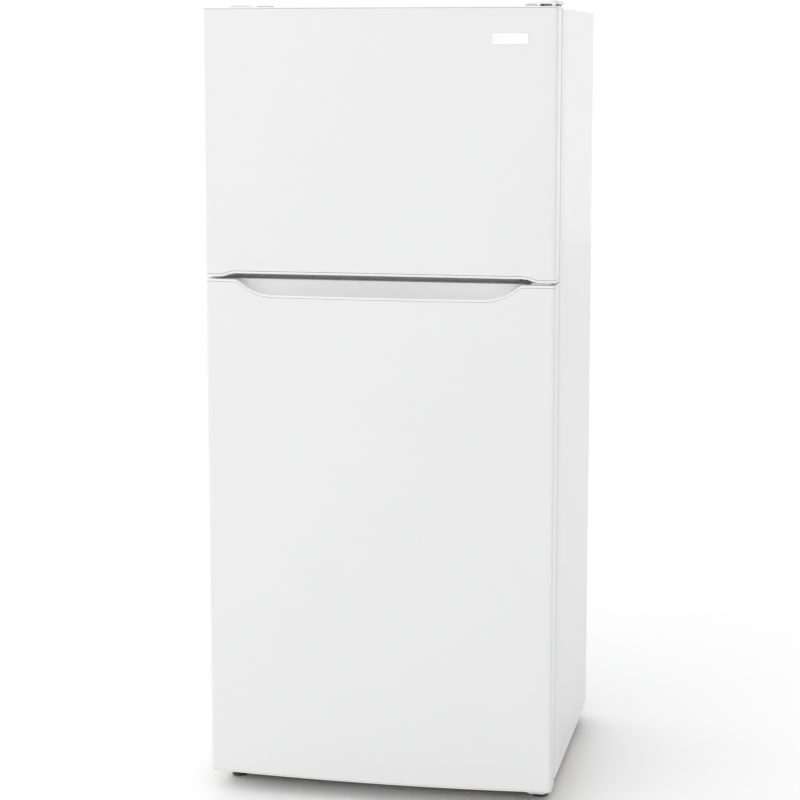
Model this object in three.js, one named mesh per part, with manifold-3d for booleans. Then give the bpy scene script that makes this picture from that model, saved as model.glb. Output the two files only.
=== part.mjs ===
// A top-freezer refrigerator of the 30 inch class, closed, standing on two levelling legs and two rollers.
// Millimetres, +Z up. The origin is on the floor under the middle; the doors face -Y and hinge on the +X side.

import * as THREE from "three";
import { mergeVertices } from "three/addons/utils/BufferGeometryUtils.js";
import Module from "manifold-3d";

const wasm = await Module();
wasm.setup();

// ---------------------------------------------------------------- driving dimensions

const WIDTH = 762;
const HALF = WIDTH / 2;
const GAP = 0.3; // left between pieces that touch
const SHEET = 1.2; // painted steel sheet
const LINER = 2; // moulded plastic liners

// Depths, from the front (-Y) to the rear.
const DOOR_CORNER_Y = -343; // the doors' vertical front edges
const DOOR_BULGE = 19.5; // how far the middle of a door stands ahead of its edges
const DOOR_BACK_Y = -284.5;
const DOOR_EDGE_RADIUS = 8;
const BACK_CHAMFER = 5;
const RIM_Y = -273.5; // front face of the cabinet
const REAR_Y = 347.5; // rear edge of the cabinet's sides
const REAR_STRIP = { depth: 66, inset: 5 }; // the sides draw in along their rear edges
const COVER_REAR_Y = 359.5; // rear face of the machine cover
const CAVITY_REAR_Y = 290;

// Heights.
const LEG_TOP = 51;
const RAIL_BOTTOM = 12;
const RAIL_TOP = 50;
const FRIDGE_DOOR = { bottom: 42, top: 1144 };
const FREEZER_DOOR = { bottom: 1149, top: 1723 };
const CABINET_BOTTOM = 51;
const CABINET_TOP = 1721;
const TOTAL_HEIGHT = 1737;

// The two cold rooms: half width and heights of their clear insides.
const CAVITY_HALF = 330;
const FRIDGE_ROOM = { bottom: 130, top: 1100 };
const FREEZER_ROOM = { bottom: 1190, top: 1668 };

// The machine space at the bottom of the back, and the step it makes in the fridge's floor.
const MACHINE = { front: 165, top: 270 };
const WALL = 46; // insulation between the machine space and the fridge
const STEP = { front: MACHINE.front - WALL, top: MACHINE.top + WALL };

// Hinge line of both doors.
const HINGE = { x: 357, y: -316 };
const PIN_RADIUS = 4;
const BORE_RADIUS = 4.6;
const BORE_DEPTH = 16;
const HINGE_PLATE = 4;
const PIN_REACH = 14; // into a door

// Door construction.
const CAP_PLATE = 3; // the rim of an end cap that shows
const CAP_PLUG = 17; // how far a plain end cap reaches into its door
const HANDLE_PLUG = 41; // the same, for the cap that holds the pocket handle
const ARCH_PLUG = 34;
const DYKE = { half: 318, width: 28, y: -232 }; // the raised ring behind each door
const DYKE_MARGIN = { bottom: 12, top: 30 }; // from a room's floor and ceiling to its door's ring
const GASKET = { half: 352, width: 26, beyond: 30 }; // beyond: past the room's floor and ceiling
const LINER_EDGE = { half: 366, radius: 4, inset: 5 }; // a door liner's outline, just inside its door's
const GASKET_LIP = { reach: 15, thick: 4.4 };
const BIN = { half: 288.5, rear: -175, wall: 2.5, radius: 10 };
const BINS = {
  freezer_door: { lower: [1240, 95], upper: [1450, 95] }, // floor and height
  fridge_door: { lower: [180, 115], middle: [430, 95], upper: [680, 95] },
};
const BADGE = { from: 247, to: 321, height: 23, below: 67, thick: 1.6 };

// Pocket handle along the top of the fridge door, and the arch along the bottom of the freezer door.
const SCOOP = { half: 311, flat: 225, depth: 31.5, rear: -324 };
const ARCH = { half: 347, shoulder: 313, shoulderRise: 8, rise: 9.5 };

// Shelves and drawers.
const SHELF = { half: 326.5, front: -163, rear: 284, thick: 16, border: 24 };
const SHELF_TOPS = { upper: 880, lower: 620 };
const CRISPER_COVER_TOP = 350;
const CRISPER = { half: 314, inner: 8, front: -150, bottom: 134, top: 328, wall: 3 };
const FREEZER_SHELF_TOP = 1412;
const EVAPORATOR_COVER_Y = 233;

// What stands on the floor.
const RAIL = { half: 19, front: -262, rear: 343, sheet: 2 };
const CROSSBAR = { front: -258, rear: -238 };
const TRAY_TOP = 36;
const TOE = { half: 366, front: -271, rear: -266, bottom: 15, top: 34 };
const FOOT_X = 345;
const LEG_Y = -240;
const ROLLER = { y: 300, radius: 22, half: 9, bore: 3.6, axle: 3 };

// ---------------------------------------------------------------- solids

function build(position, index) {
  const mesh = new wasm.Mesh({ numProp: 3, vertProperties: position, triVerts: index });
  return new wasm.Manifold(mesh);
}

// A geometry as a solid whose faces point out. Its vertices lie on a fine grid of exact binary fractions,
// so faces that are meant to be in one plane are.
const GRID = 1 / 128;

function solid(geometry) {
  const bare = geometry.clone();
  bare.deleteAttribute("normal");
  bare.deleteAttribute("uv");
  const raw = bare.attributes.position.array;
  raw.forEach((value, i) => {
    raw[i] = Math.round(value / GRID) * GRID;
  });
  const merged = mergeVertices(bare, GRID / 4);
  const position = merged.attributes.position.array;
  const index = new Uint32Array(merged.index.array);
  const made = build(position, index);
  return made.volume() < 0 ? build(position, index.reverse()) : made;
}

function join(first, ...others) {
  return others.reduce((whole, other) => whole.add(other), first);
}

function cut(first, ...tools) {
  return tools.reduce((whole, tool) => whole.subtract(tool), first);
}

function box(x0, x1, y0, y1, z0, z1) {
  const geometry = new THREE.BoxGeometry(x1 - x0, y1 - y0, z1 - z0);
  return solid(geometry.translate((x0 + x1) / 2, (y0 + y1) / 2, (z0 + z1) / 2));
}

const X = new THREE.Vector3(1, 0, 0);
const Y = new THREE.Vector3(0, 1, 0);
const Z = new THREE.Vector3(0, 0, 1);

// An outline is drawn in X and Y for a prism along z, in X and Z along y, and in Y and Z along x.
const ALONG = {
  x: new THREE.Matrix4().makeBasis(Y, Z, X),
  y: new THREE.Matrix4().makeBasis(X, Z, Y.clone().negate()),
  z: new THREE.Matrix4(),
};

function prism(axis, outline, from, to, holes = []) {
  const shape = new THREE.Shape(outline);
  shape.holes = holes.map((hole) => new THREE.Path(hole));
  const geometry = new THREE.ExtrudeGeometry(shape, { depth: to - from, bevelEnabled: false });
  geometry.applyMatrix4(ALONG[axis]);
  const shift = { x: [from, 0, 0], y: [0, to, 0], z: [0, 0, from] }[axis];
  return solid(geometry.translate(...shift));
}

function points(pairs) {
  return pairs.map(([u, v]) => new THREE.Vector2(u, v));
}

function arc(cx, cy, radius, from, to, steps) {
  const made = [];
  for (let i = 0; i <= steps; i++) {
    const angle = from + ((to - from) * i) / steps;
    made.push([cx + radius * Math.cos(angle), cy + radius * Math.sin(angle)]);
  }
  return made;
}

const QUARTER = Math.PI / 2;

function roundedRectangle(x0, x1, y0, y1, radius, steps = 4) {
  const centres = [
    [x1 - radius, y1 - radius],
    [x0 + radius, y1 - radius],
    [x0 + radius, y0 + radius],
    [x1 - radius, y0 + radius],
  ];
  return points(
    centres.flatMap(([cx, cy], i) => arc(cx, cy, radius, i * QUARTER, (i + 1) * QUARTER, steps)),
  );
}

function cylinder(axis, a, b, from, to, radius, sides = 16) {
  return prism(axis, points(arc(a, b, radius, 0, 2 * Math.PI, sides).slice(1)), from, to);
}

function turned(profile, sides) {
  const geometry = new THREE.LatheGeometry(points(profile), sides);
  return solid(geometry.rotateX(QUARTER));
}

function tube(route, radius, sides, steps) {
  const curve = new THREE.CatmullRomCurve3(
    route.map((p) => new THREE.Vector3(...p)),
    false,
    "centripetal",
  );
  const section = new THREE.Shape(points(arc(0, 0, radius, 0, 2 * Math.PI, sides).slice(1)));
  return solid(new THREE.ExtrudeGeometry(section, { steps, extrudePath: curve }));
}

// An open box: the outer prism along z less its inside, which is open at the top.
function tray(x0, x1, y0, y1, z0, z1, wall, radius) {
  const outer = prism("z", roundedRectangle(x0, x1, y0, y1, radius), z0, z1);
  const inside = roundedRectangle(x0 + wall, x1 - wall, y0 + wall, y1 - wall, radius - wall);
  return cut(outer, prism("z", inside, z0 + wall, z1 + 1));
}

// ---------------------------------------------------------------- the named parts

const fridge = new THREE.Group();

const WHITE_PAINT = { color: 0xeceeee, roughness: 0.32, metalness: 0.1 };
const WHITE_PLASTIC = { color: 0xe8eaea, roughness: 0.4, metalness: 0 };
const GREY_PLASTIC = { color: 0xc9cccd, roughness: 0.45, metalness: 0 };
const CLEAR_PLASTIC = { color: 0xdde6ea, roughness: 0.12, metalness: 0 };
const GLASS = { color: 0xcfe0da, roughness: 0.05, metalness: 0 };
const RUBBER = { color: 0xd7d8d6, roughness: 0.7, metalness: 0 };
const BLACK_RUBBER = { color: 0x232324, roughness: 0.7, metalness: 0 };
const FOAM = { color: 0xe3d9a8, roughness: 0.9, metalness: 0 };
const ZINC = { color: 0xa9adb0, roughness: 0.45, metalness: 0.9 };
const DARK_STEEL = { color: 0x2b2c2e, roughness: 0.5, metalness: 0.6 };
const COPPER = { color: 0xb4693f, roughness: 0.35, metalness: 1 };
const ALUMINIUM = { color: 0xc2c5c7, roughness: 0.4, metalness: 1 };

function part(name, shape, finish) {
  const made = shape.getMesh();
  const geometry = new THREE.BufferGeometry();
  geometry.setAttribute("position", new THREE.BufferAttribute(made.vertProperties, 3));
  geometry.setIndex(new THREE.BufferAttribute(made.triVerts, 1));
  geometry.computeVertexNormals();
  const mesh = new THREE.Mesh(geometry, new THREE.MeshStandardMaterial(finish));
  mesh.name = name;
  fridge.add(mesh);
}

// ---------------------------------------------------------------- doors

function bow(x) {
  return DOOR_CORNER_Y - DOOR_BULGE * (1 - (x / HALF) ** 2);
}

// Plan of a door's front and sides, from its right rear corner round the front to its left rear corner.
function doorPlan(inset, back) {
  const chamfer = BACK_CHAMFER - inset / 2;
  const half = HALF - inset;
  const radius = DOOR_EDGE_RADIUS - inset;
  const slope = Math.atan((2 * DOOR_BULGE) / HALF);
  const tangent = half - radius * (1 - Math.sin(slope));
  const centre = [half - radius, bow(tangent) + inset + radius * Math.cos(slope)];
  const right = [
    [half - chamfer, back],
    [half, back - chamfer],
    ...arc(...centre, radius, 0, slope - QUARTER, 4),
  ];
  const front = [];
  const steps = 20;
  for (let i = 1; i < steps; i++) {
    const x = tangent - (2 * tangent * i) / steps;
    front.push([x, bow(x) + inset]);
  }
  const left = right.map(([x, y]) => [-x, y]).reverse();
  return [...right, ...front, ...left];
}

// The sheet of a door: front, sides and the return flanges behind.
function doorSkin(bottom, top) {
  const flange = 20;
  const outer = doorPlan(0, DOOR_BACK_Y);
  const inner = doorPlan(SHEET, DOOR_BACK_Y - SHEET).reverse();
  const tip = HALF - flange;
  const outline = [
    [tip, DOOR_BACK_Y],
    ...outer,
    [-tip, DOOR_BACK_Y],
    [-tip, DOOR_BACK_Y - SHEET],
    ...inner,
    [tip, DOOR_BACK_Y - SHEET],
  ];
  return prism("z", points(outline), bottom, top);
}

const BEHIND_SHEET = SHEET + GAP;

function doorBlock(bottom, top) {
  return prism("z", points(doorPlan(BEHIND_SHEET, DOOR_BACK_Y - BEHIND_SHEET)), bottom, top);
}

function doorRim(bottom, top) {
  return prism("z", points(doorPlan(0, DOOR_BACK_Y)), bottom, top);
}

// A ring seen from the front, as deep as from y0 to y1.
function ring(half, bottom, top, width, radius, y0, y1) {
  const outline = roundedRectangle(-half, half, bottom, top, radius);
  const hole = roundedRectangle(
    -half + width,
    half - width,
    bottom + width,
    top - width,
    Math.max(radius - width, 4),
  );
  return prism("y", outline, y0, y1, [hole]);
}

function dykeRing(room, inset, y0, y1) {
  const from = room.bottom + DYKE_MARGIN.bottom + inset;
  const to = room.top - DYKE_MARGIN.top - inset;
  return ring(DYKE.half - inset, from, to, DYKE.width - 2 * inset, 24 - inset, y0, y1);
}

const LINER_FRONT_Y = DOOR_BACK_Y + GAP;
const LINER_BACK_Y = LINER_FRONT_Y + LINER;

function doorFoam(bottom, top, room) {
  const wall = LINER + GAP;
  const filling = dykeRing(room, wall, DOOR_BACK_Y - 2 * BEHIND_SHEET, DYKE.y - wall);
  return join(doorBlock(bottom, top), filling);
}

function doorLiner(bottom, top, room) {
  const sheet = roundedRectangle(-LINER_EDGE.half, LINER_EDGE.half, bottom, top, LINER_EDGE.radius);
  const raised = join(
    prism("y", sheet, LINER_FRONT_Y, LINER_BACK_Y),
    dykeRing(room, 0, LINER_FRONT_Y, DYKE.y),
  );
  return cut(raised, dykeRing(room, LINER, LINER_FRONT_Y - 1, DYKE.y - LINER));
}

// A magnetic bellows with a thinner lip along each side that nearly closes the gap beside it.
function gasket(room) {
  const { half, width, beyond } = GASKET;
  const { reach, thick } = GASKET_LIP;
  const bottom = room.bottom - beyond;
  const top = room.top + beyond;
  const from = LINER_BACK_Y + GAP;
  const lip = (side) => {
    const xs = [side * (half - 1), side * (half + reach)].sort((a, b) => a - b);
    return box(...xs, from, from + thick, bottom + 12, top - 12);
  };
  return join(ring(half, bottom, top, width, 12, from, RIM_Y - GAP), lip(-1), lip(1));
}

function hingeBore(from, to) {
  return cylinder("z", HINGE.x, HINGE.y, from, to, BORE_RADIUS);
}

function pin(from, to) {
  return cylinder("z", HINGE.x, HINGE.y, from, to, PIN_RADIUS);
}

// The space under a curve that rises from the freezer door's bottom edge, moved up by lift.
function underArch(lift) {
  const base = FREEZER_DOOR.bottom + lift;
  const far = HALF + 10;
  const side = new THREE.CubicBezierCurve(
    new THREE.Vector2(ARCH.half, 0),
    new THREE.Vector2(ARCH.half - 11, 0),
    new THREE.Vector2(ARCH.shoulder + 17, ARCH.shoulderRise - 1.5),
    new THREE.Vector2(ARCH.shoulder, ARCH.shoulderRise),
  );
  const right = side.getPoints(4).map((p) => [p.x, p.y]);
  const crown = [];
  for (const share of [0.66, 0.33, 0]) {
    const rise = ARCH.rise - (ARCH.rise - ARCH.shoulderRise) * share ** 2;
    crown.push([ARCH.shoulder * share, rise]);
  }
  const half = [[far, 0], ...right, ...crown];
  const other = half.slice(0, -1).map(([x, z]) => [-x, z]).reverse();
  const curve = [...half, ...other].map(([x, z]) => [x, base + z]);
  const low = FREEZER_DOOR.bottom - 20;
  const outline = points([[far, low], ...curve, [-far, low]]);
  return prism("y", outline, DOOR_CORNER_Y - 40, DYKE.y + 40);
}

// The pocket handle's space: open at the front and at the top.
function scoop(grow) {
  const top = FRIDGE_DOOR.top;
  const side = new THREE.CubicBezierCurve(
    new THREE.Vector2(SCOOP.half + grow, 0),
    new THREE.Vector2(SCOOP.half - 11 + grow, -3),
    new THREE.Vector2(SCOOP.half - 30 + grow, -SCOOP.depth - grow),
    new THREE.Vector2(SCOOP.flat, -SCOOP.depth - grow),
  );
  const right = side.getPoints(8).map((p) => [p.x, top + p.y]);
  const left = right.map(([x, z]) => [-x, z]).reverse();
  const above = top + 5;
  const outline = points([[right[0][0], above], ...right, ...left, [left.at(-1)[0], above]]);
  return prism("y", outline, DOOR_CORNER_Y - 40, SCOOP.rear);
}

function bin(bottom, height) {
  return tray(
    -BIN.half,
    BIN.half,
    LINER_BACK_Y + GAP,
    BIN.rear,
    bottom,
    bottom + height,
    BIN.wall,
    BIN.radius,
  );
}

function bins(door) {
  for (const [level, [bottom, height]] of Object.entries(BINS[door])) {
    part(`${door}_bin_${level}`, bin(bottom, height), CLEAR_PLASTIC);
  }
}

function freezerDoor() {
  const { bottom, top } = FREEZER_DOOR;
  const skin = doorSkin(bottom, top - CAP_PLATE - GAP);
  part("freezer_door_skin", cut(skin, underArch(CAP_PLATE + GAP)), WHITE_PAINT);
  const foam = doorFoam(bottom + ARCH_PLUG + GAP, top - CAP_PLUG - GAP, FREEZER_ROOM);
  part("freezer_door_foam", foam, FOAM);
  part("freezer_door_liner", doorLiner(bottom + 8, top - LINER_EDGE.inset, FREEZER_ROOM), WHITE_PLASTIC);
  part("freezer_door_gasket", gasket(FREEZER_ROOM), RUBBER);

  const topCap = join(doorRim(top - CAP_PLATE, top), doorBlock(top - CAP_PLUG, top));
  part("freezer_door_top_cap", cut(topCap, hingeBore(top - BORE_DEPTH, top + 1)), WHITE_PLASTIC);

  // The bottom cap follows the arch: a rim that shows, and a plug inside the sheet.
  const rim = doorRim(bottom, bottom + ARCH.rise + CAP_PLATE).intersect(underArch(CAP_PLATE));
  const plug = doorBlock(bottom, bottom + ARCH_PLUG);
  const bottomCap = cut(join(rim, plug), underArch(0), hingeBore(bottom - 1, bottom + BORE_DEPTH));
  part("freezer_door_bottom_cap", bottomCap, WHITE_PLASTIC);

  bins("freezer_door");
  part("badge", badge(), ALUMINIUM);
}

// A plain raised plate on the freezer door, bent to the door's bow.
function badge() {
  const { from, to, height, below, thick } = BADGE;
  const steps = 4;
  const near = [];
  const far = [];
  for (let i = 0; i <= steps; i++) {
    const x = from + ((to - from) * i) / steps;
    near.push([x, bow(x) - GAP / 2]);
    far.push([x, bow(x) - GAP / 2 - thick]);
  }
  const middle = FREEZER_DOOR.top - below;
  const outline = points([...near, ...far.reverse()]);
  return prism("z", outline, middle - height / 2, middle + height / 2);
}

function fridgeDoor() {
  const { bottom, top } = FRIDGE_DOOR;
  const skin = doorSkin(bottom + CAP_PLATE + GAP, top - CAP_PLATE - GAP);
  part("fridge_door_skin", cut(skin, scoop(GAP)), WHITE_PAINT);
  const foam = doorFoam(bottom + CAP_PLUG + GAP, top - HANDLE_PLUG - GAP, FRIDGE_ROOM);
  part("fridge_door_foam", foam, FOAM);
  part("fridge_door_liner", doorLiner(bottom + LINER_EDGE.inset, top - LINER_EDGE.inset, FRIDGE_ROOM), WHITE_PLASTIC);
  part("fridge_door_gasket", gasket(FRIDGE_ROOM), RUBBER);

  const handle = join(doorRim(top - CAP_PLATE, top), doorBlock(top - HANDLE_PLUG, top));
  const handleCut = cut(handle, scoop(0), hingeBore(top - BORE_DEPTH, top + 1));
  part("fridge_door_handle_cap", handleCut, WHITE_PLASTIC);

  const bottomCap = join(doorRim(bottom, bottom + CAP_PLATE), doorBlock(bottom, bottom + CAP_PLUG));
  const bored = cut(bottomCap, hingeBore(bottom - 1, bottom + BORE_DEPTH));
  part("fridge_door_bottom_cap", bored, WHITE_PLASTIC);

  bins("fridge_door");
  part("dairy_box", dairyBox(), CLEAR_PLASTIC);
  part("dairy_lid", dairyLid(), CLEAR_PLASTIC);
}

// The dairy box is closed above and open towards the room, where its lid hangs from two pegs.
const DAIRY = { bottom: 920, top: 1020, rear: -190, wall: 2.5, lidThick: 3 };
const DAIRY_PEG = { y: DAIRY.rear + 8, z: DAIRY.top - 8, radius: 3 };

function dairyBox() {
  const front = LINER_BACK_Y + GAP;
  const { bottom, top, rear, wall } = DAIRY;
  const shell = box(-BIN.half, BIN.half, front, rear, bottom, top);
  const hollow = box(
    -BIN.half + wall,
    BIN.half - wall,
    front + wall,
    rear + 1,
    bottom + wall,
    top - wall,
  );
  const ear = (x0, x1) =>
    join(
      box(x0, x1, rear - 1, DAIRY_PEG.y + 6, top - 16, top),
      cylinder("x", DAIRY_PEG.y, DAIRY_PEG.z, x0 - 4, x1 + 4, DAIRY_PEG.radius, 12),
    );
  const ears = join(ear(-BIN.half, -BIN.half + wall), ear(BIN.half - wall, BIN.half));
  const within = box(-BIN.half, BIN.half, front, DAIRY_PEG.y + 10, bottom, top);
  return join(cut(shell, hollow), ears.intersect(within));
}

function dairyLid() {
  const half = BIN.half - DAIRY.wall - 0.8;
  const { y, z, radius } = DAIRY_PEG;
  const thick = DAIRY.lidThick;
  const panel = box(-half, half, y - thick / 2, y + thick / 2, DAIRY.bottom + 2, z);
  const barrel = cylinder("x", y, z, -half, half, radius + 3.5, 12);
  const grip = box(-60, 60, y, y + 10, DAIRY.bottom + 2, DAIRY.bottom + 5);
  const bore = cylinder("x", y, z, -half - 1, half + 1, radius + 0.6, 12);
  return cut(join(panel, barrel, grip), bore);
}

// ---------------------------------------------------------------- cabinet

const FLANGE_INNER = CAVITY_HALF + LINER + GAP;

// The cabinet from above, its sides moved in by inset.
function cabinetPlan(inset, front, rear) {
  const bend = REAR_Y - REAR_STRIP.depth;
  const taper = (REAR_STRIP.inset * (rear - bend)) / REAR_STRIP.depth;
  const half = HALF - inset;
  const right = [
    [half, front],
    [half, bend],
    [half - taper, rear],
  ];
  const left = right.map(([x, y]) => [-x, y]).reverse();
  return points([...right, ...left]);
}

// A folded sheet: two sides and a roof, with the front flange that the gaskets close on and a hem behind.
function cabinetWrapper() {
  const hem = 12;
  return cut(
    prism("z", cabinetPlan(0, RIM_Y, REAR_Y), CABINET_BOTTOM, CABINET_TOP),
    prism("z", cabinetPlan(SHEET, RIM_Y + SHEET, REAR_Y - SHEET), 0, CABINET_TOP - SHEET),
    box(-FLANGE_INNER, FLANGE_INNER, RIM_Y - 1, RIM_Y + SHEET + 1,
      FRIDGE_ROOM.bottom - LINER - GAP, FREEZER_ROOM.top + LINER + GAP),
    box(-HALF + hem, HALF - hem, REAR_Y - SHEET - 1, REAR_Y + 1, 0, CABINET_TOP - hem),
  );
}

// The clear inside of each cold room, grown outwards by a wall.
function freezerVoid(wall) {
  return box(-CAVITY_HALF - wall, CAVITY_HALF + wall, RIM_Y - 1, CAVITY_REAR_Y + wall,
    FREEZER_ROOM.bottom - wall, FREEZER_ROOM.top + wall);
}

function fridgeVoid(wall) {
  const room = box(-CAVITY_HALF - wall, CAVITY_HALF + wall, RIM_Y - 1, CAVITY_REAR_Y + wall,
    FRIDGE_ROOM.bottom - wall, FRIDGE_ROOM.top + wall);
  const step = box(-HALF, HALF, STEP.front + wall, REAR_Y, 0, STEP.top - wall);
  return cut(room, step);
}

const BACK_PANEL = 1.2;
const FOAM_REAR_Y = REAR_Y - SHEET - BACK_PANEL - 2 * GAP;

function cabinetFoam() {
  const plan = cabinetPlan(BEHIND_SHEET, RIM_Y + BEHIND_SHEET, FOAM_REAR_Y);
  const block = prism("z", plan, CABINET_BOTTOM + 2, CABINET_TOP - BEHIND_SHEET);
  const machine = box(-HALF, HALF, MACHINE.front, REAR_Y, 0, MACHINE.top);
  const wall = LINER + GAP;
  return cut(block, machine, freezerVoid(wall), fridgeVoid(wall));
}

function ledges(tops, thick, front, rear) {
  return tops.flatMap((top) =>
    [-1, 1].map((side) => {
      const z = top - thick - GAP;
      const xs = [side * (CAVITY_HALF - 12), side * (CAVITY_HALF + 1)].sort((a, b) => a - b);
      return box(...xs, front, rear, z - 6, z);
    }),
  );
}

const FREEZER_SHELF_THICK = 8;

function freezerLiner() {
  const within = box(-HALF, HALF, RIM_Y, REAR_Y, 0, TOTAL_HEIGHT);
  const shell = cut(freezerVoid(LINER).intersect(within), freezerVoid(0));
  const supports = ledges([FREEZER_SHELF_TOP], FREEZER_SHELF_THICK, -140, 225);
  return join(shell, ...supports);
}

// The plunger of the light switch runs in a boss in the fridge's ceiling.
const SWITCH = { x: 290, z: 1088, radius: 3.5, tip: LINER_BACK_Y + GAP, tail: -248, boss: -266 };

function fridgeLiner() {
  const within = box(-HALF, HALF, RIM_Y, REAR_Y, 0, TOTAL_HEIGHT);
  const shell = cut(fridgeVoid(LINER).intersect(within), fridgeVoid(0));
  const supports = ledges([SHELF_TOPS.upper, SHELF_TOPS.lower], SHELF.thick, -140, 280);
  const boss = box(SWITCH.x - 12, SWITCH.x + 12, SWITCH.boss, SWITCH.boss + 30,
    SWITCH.z - 10, FRIDGE_ROOM.top + 1);
  const bore = cylinder("y", SWITCH.x, SWITCH.z, SWITCH.boss - 1, SWITCH.boss + 29,
    SWITCH.radius + 0.6);
  return cut(join(shell, ...supports, boss), bore);
}

function lightSwitch() {
  return cylinder("y", SWITCH.x, SWITCH.z, SWITCH.tip, SWITCH.tail, SWITCH.radius, 12);
}

function mullion() {
  return box(-CAVITY_HALF - LINER, CAVITY_HALF + LINER, RIM_Y, RIM_Y + SHEET,
    FRIDGE_ROOM.top + LINER + GAP, FREEZER_ROOM.bottom - LINER - GAP);
}

function backPanel() {
  const rear = REAR_Y - SHEET - GAP;
  const half = HALF - REAR_STRIP.inset - 2;
  return box(-half, half, rear - BACK_PANEL, rear, MACHINE.top + 2, CABINET_TOP - 3);
}

function baseFrame() {
  const rail = (side) => {
    const from = side * FOOT_X - RAIL.half;
    const to = side * FOOT_X + RAIL.half;
    const { front, rear, sheet } = RAIL;
    const channel = cut(
      box(from, to, front, rear, RAIL_BOTTOM, RAIL_TOP),
      box(from + sheet, to - sheet, front - 1, rear + 1, RAIL_BOTTOM - 1, RAIL_TOP - sheet),
      cylinder("z", side * FOOT_X, LEG_Y, RAIL_TOP - 5, RAIL_TOP + 5, 5.8),
    );
    return join(channel, cylinder("x", ROLLER.y, ROLLER.radius, from + 1, to - 1, ROLLER.axle, 12));
  };
  const reach = FOOT_X - RAIL.half + 1;
  const crossbar = box(-reach, reach, CROSSBAR.front, CROSSBAR.rear, RAIL_TOP - 20, RAIL_TOP);
  const floor = box(-reach, reach, MACHINE.front + 3, RAIL.rear, TRAY_TOP - 2, TRAY_TOP);
  return join(rail(-1), rail(1), crossbar, floor);
}

function slots(x0, x1, y0, y1, z0, z1, count) {
  const pitch = (z1 - z0) / count;
  const made = [];
  for (let i = 0; i < count; i++) {
    const z = z0 + pitch * i;
    made.push(box(x0, x1, y0, y1, z, z + pitch / 2));
  }
  return made;
}

function toeGrille() {
  const { half, front, rear, bottom, top } = TOE;
  const plate = box(-half, half, front, rear, bottom, top);
  const openings = [-255, 0, 255].flatMap((x) =>
    slots(x - 110, x + 110, front - 1, rear + 1, bottom + 5, top - 3, 3));
  const clip = (x) => box(x - 12, x + 12, rear - 1, CROSSBAR.front - GAP, top - 3.5, top);
  return join(cut(plate, ...openings), clip(-250), clip(250));
}

// ---------------------------------------------------------------- hinges

function hingeTab(z0, z1) {
  return box(HINGE.x - 32, HINGE.x + 15, RIM_Y - GAP - HINGE_PLATE, RIM_Y - GAP, z0, z1);
}

function hingeArm(z) {
  const outline = roundedRectangle(HINGE.x - 30, HINGE.x + 13, HINGE.y - 22, RIM_Y - GAP - 1, 10);
  const arm = prism("z", outline, z, z + HINGE_PLATE);
  return join(arm, box(HINGE.x - 30, HINGE.x + 13, RIM_Y - 14, RIM_Y - GAP - 1, z, z + HINGE_PLATE));
}

function centreHinge() {
  const middle = (FRIDGE_DOOR.top + FREEZER_DOOR.bottom) / 2;
  const reach = (FREEZER_DOOR.bottom - FRIDGE_DOOR.top) / 2 + PIN_REACH;
  const arm = hingeArm(middle - HINGE_PLATE / 2);
  return join(arm, hingeTab(middle - 11, middle + 11), pin(middle - reach, middle + reach));
}

function bottomHinge() {
  const z = FRIDGE_DOOR.bottom - 2.5 - HINGE_PLATE;
  return join(hingeArm(z), hingeTab(z, 92), pin(z, FRIDGE_DOOR.bottom + PIN_REACH));
}

const TOP_PLATE = { z: 1726, front: -260, rear: -217, left: 300, thick: 3 };
const HINGE_COVER = { front: -344, rear: -208, left: 24, right: 21, radius: 14, wall: 2 };

function topHinge() {
  const { z, front, rear, left, thick } = TOP_PLATE;
  const right = HINGE.x + 15;
  const outline = roundedRectangle(HINGE.x - 17, right, HINGE.y - 15, rear, 10);
  const arm = prism("z", outline, z, z + thick);
  const foot = box(left, right, front, rear, CABINET_TOP + GAP, z + thick);
  const washer = cylinder("z", HINGE.x, HINGE.y, FREEZER_DOOR.top + GAP, z, 9);
  return join(arm, foot, washer, pin(FREEZER_DOOR.top - PIN_REACH, z));
}

function topHingeCover() {
  const { front, rear, radius, wall } = HINGE_COVER;
  const x0 = HINGE.x - HINGE_COVER.left;
  const x1 = HINGE.x + HINGE_COVER.right;
  const low = TOP_PLATE.z + 1.5;
  const outer = prism("z", roundedRectangle(x0, x1, front, rear, radius), low, TOTAL_HEIGHT);
  const inner = roundedRectangle(x0 + wall, x1 - wall, front + wall, rear - wall, radius - wall);
  const notch = box(x0 - 5, x0 + 5, TOP_PLATE.front - GAP, TOP_PLATE.rear + GAP,
    low - 1, TOP_PLATE.z + TOP_PLATE.thick + GAP);
  return cut(outer, prism("z", inner, low - 1, TOTAL_HEIGHT - wall), notch);
}

// A low plug over the unused hinge holes on the other side.
const PLUG = { x: -321.5, half: 35.5, front: -262, rear: -215, radius: 62, drop: 52, opening: 0.98 };

function leftHingeCap() {
  const { x, half, front, rear, radius, drop, opening } = PLUG;
  const z = CABINET_TOP + GAP;
  const crown = arc(x, z - drop, radius, opening, Math.PI - opening, 8).filter(([, v]) => v > z);
  return prism("y", points([[x + half, z], ...crown, [x - half, z]]), front, rear);
}

// ---------------------------------------------------------------- inside the rooms

function shelfFrame(top) {
  const { half, front, rear, thick, border } = SHELF;
  const outline = roundedRectangle(-half, half, front, rear, 8);
  const hole = roundedRectangle(-half + border, half - border, front + border, rear - border, 4);
  const frame = prism("z", outline, top - thick, top, [hole]);
  const rebate = box(-half + 12, half - 12, front + 12, rear - 12, top - 5, top + 1);
  return cut(frame, rebate);
}

function shelfGlass(top) {
  const { half, front, rear } = SHELF;
  const edge = 12 + GAP;
  return box(-half + edge, half - edge, front + edge, rear - edge, top - 5 + GAP, top - 0.5);
}

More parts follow.
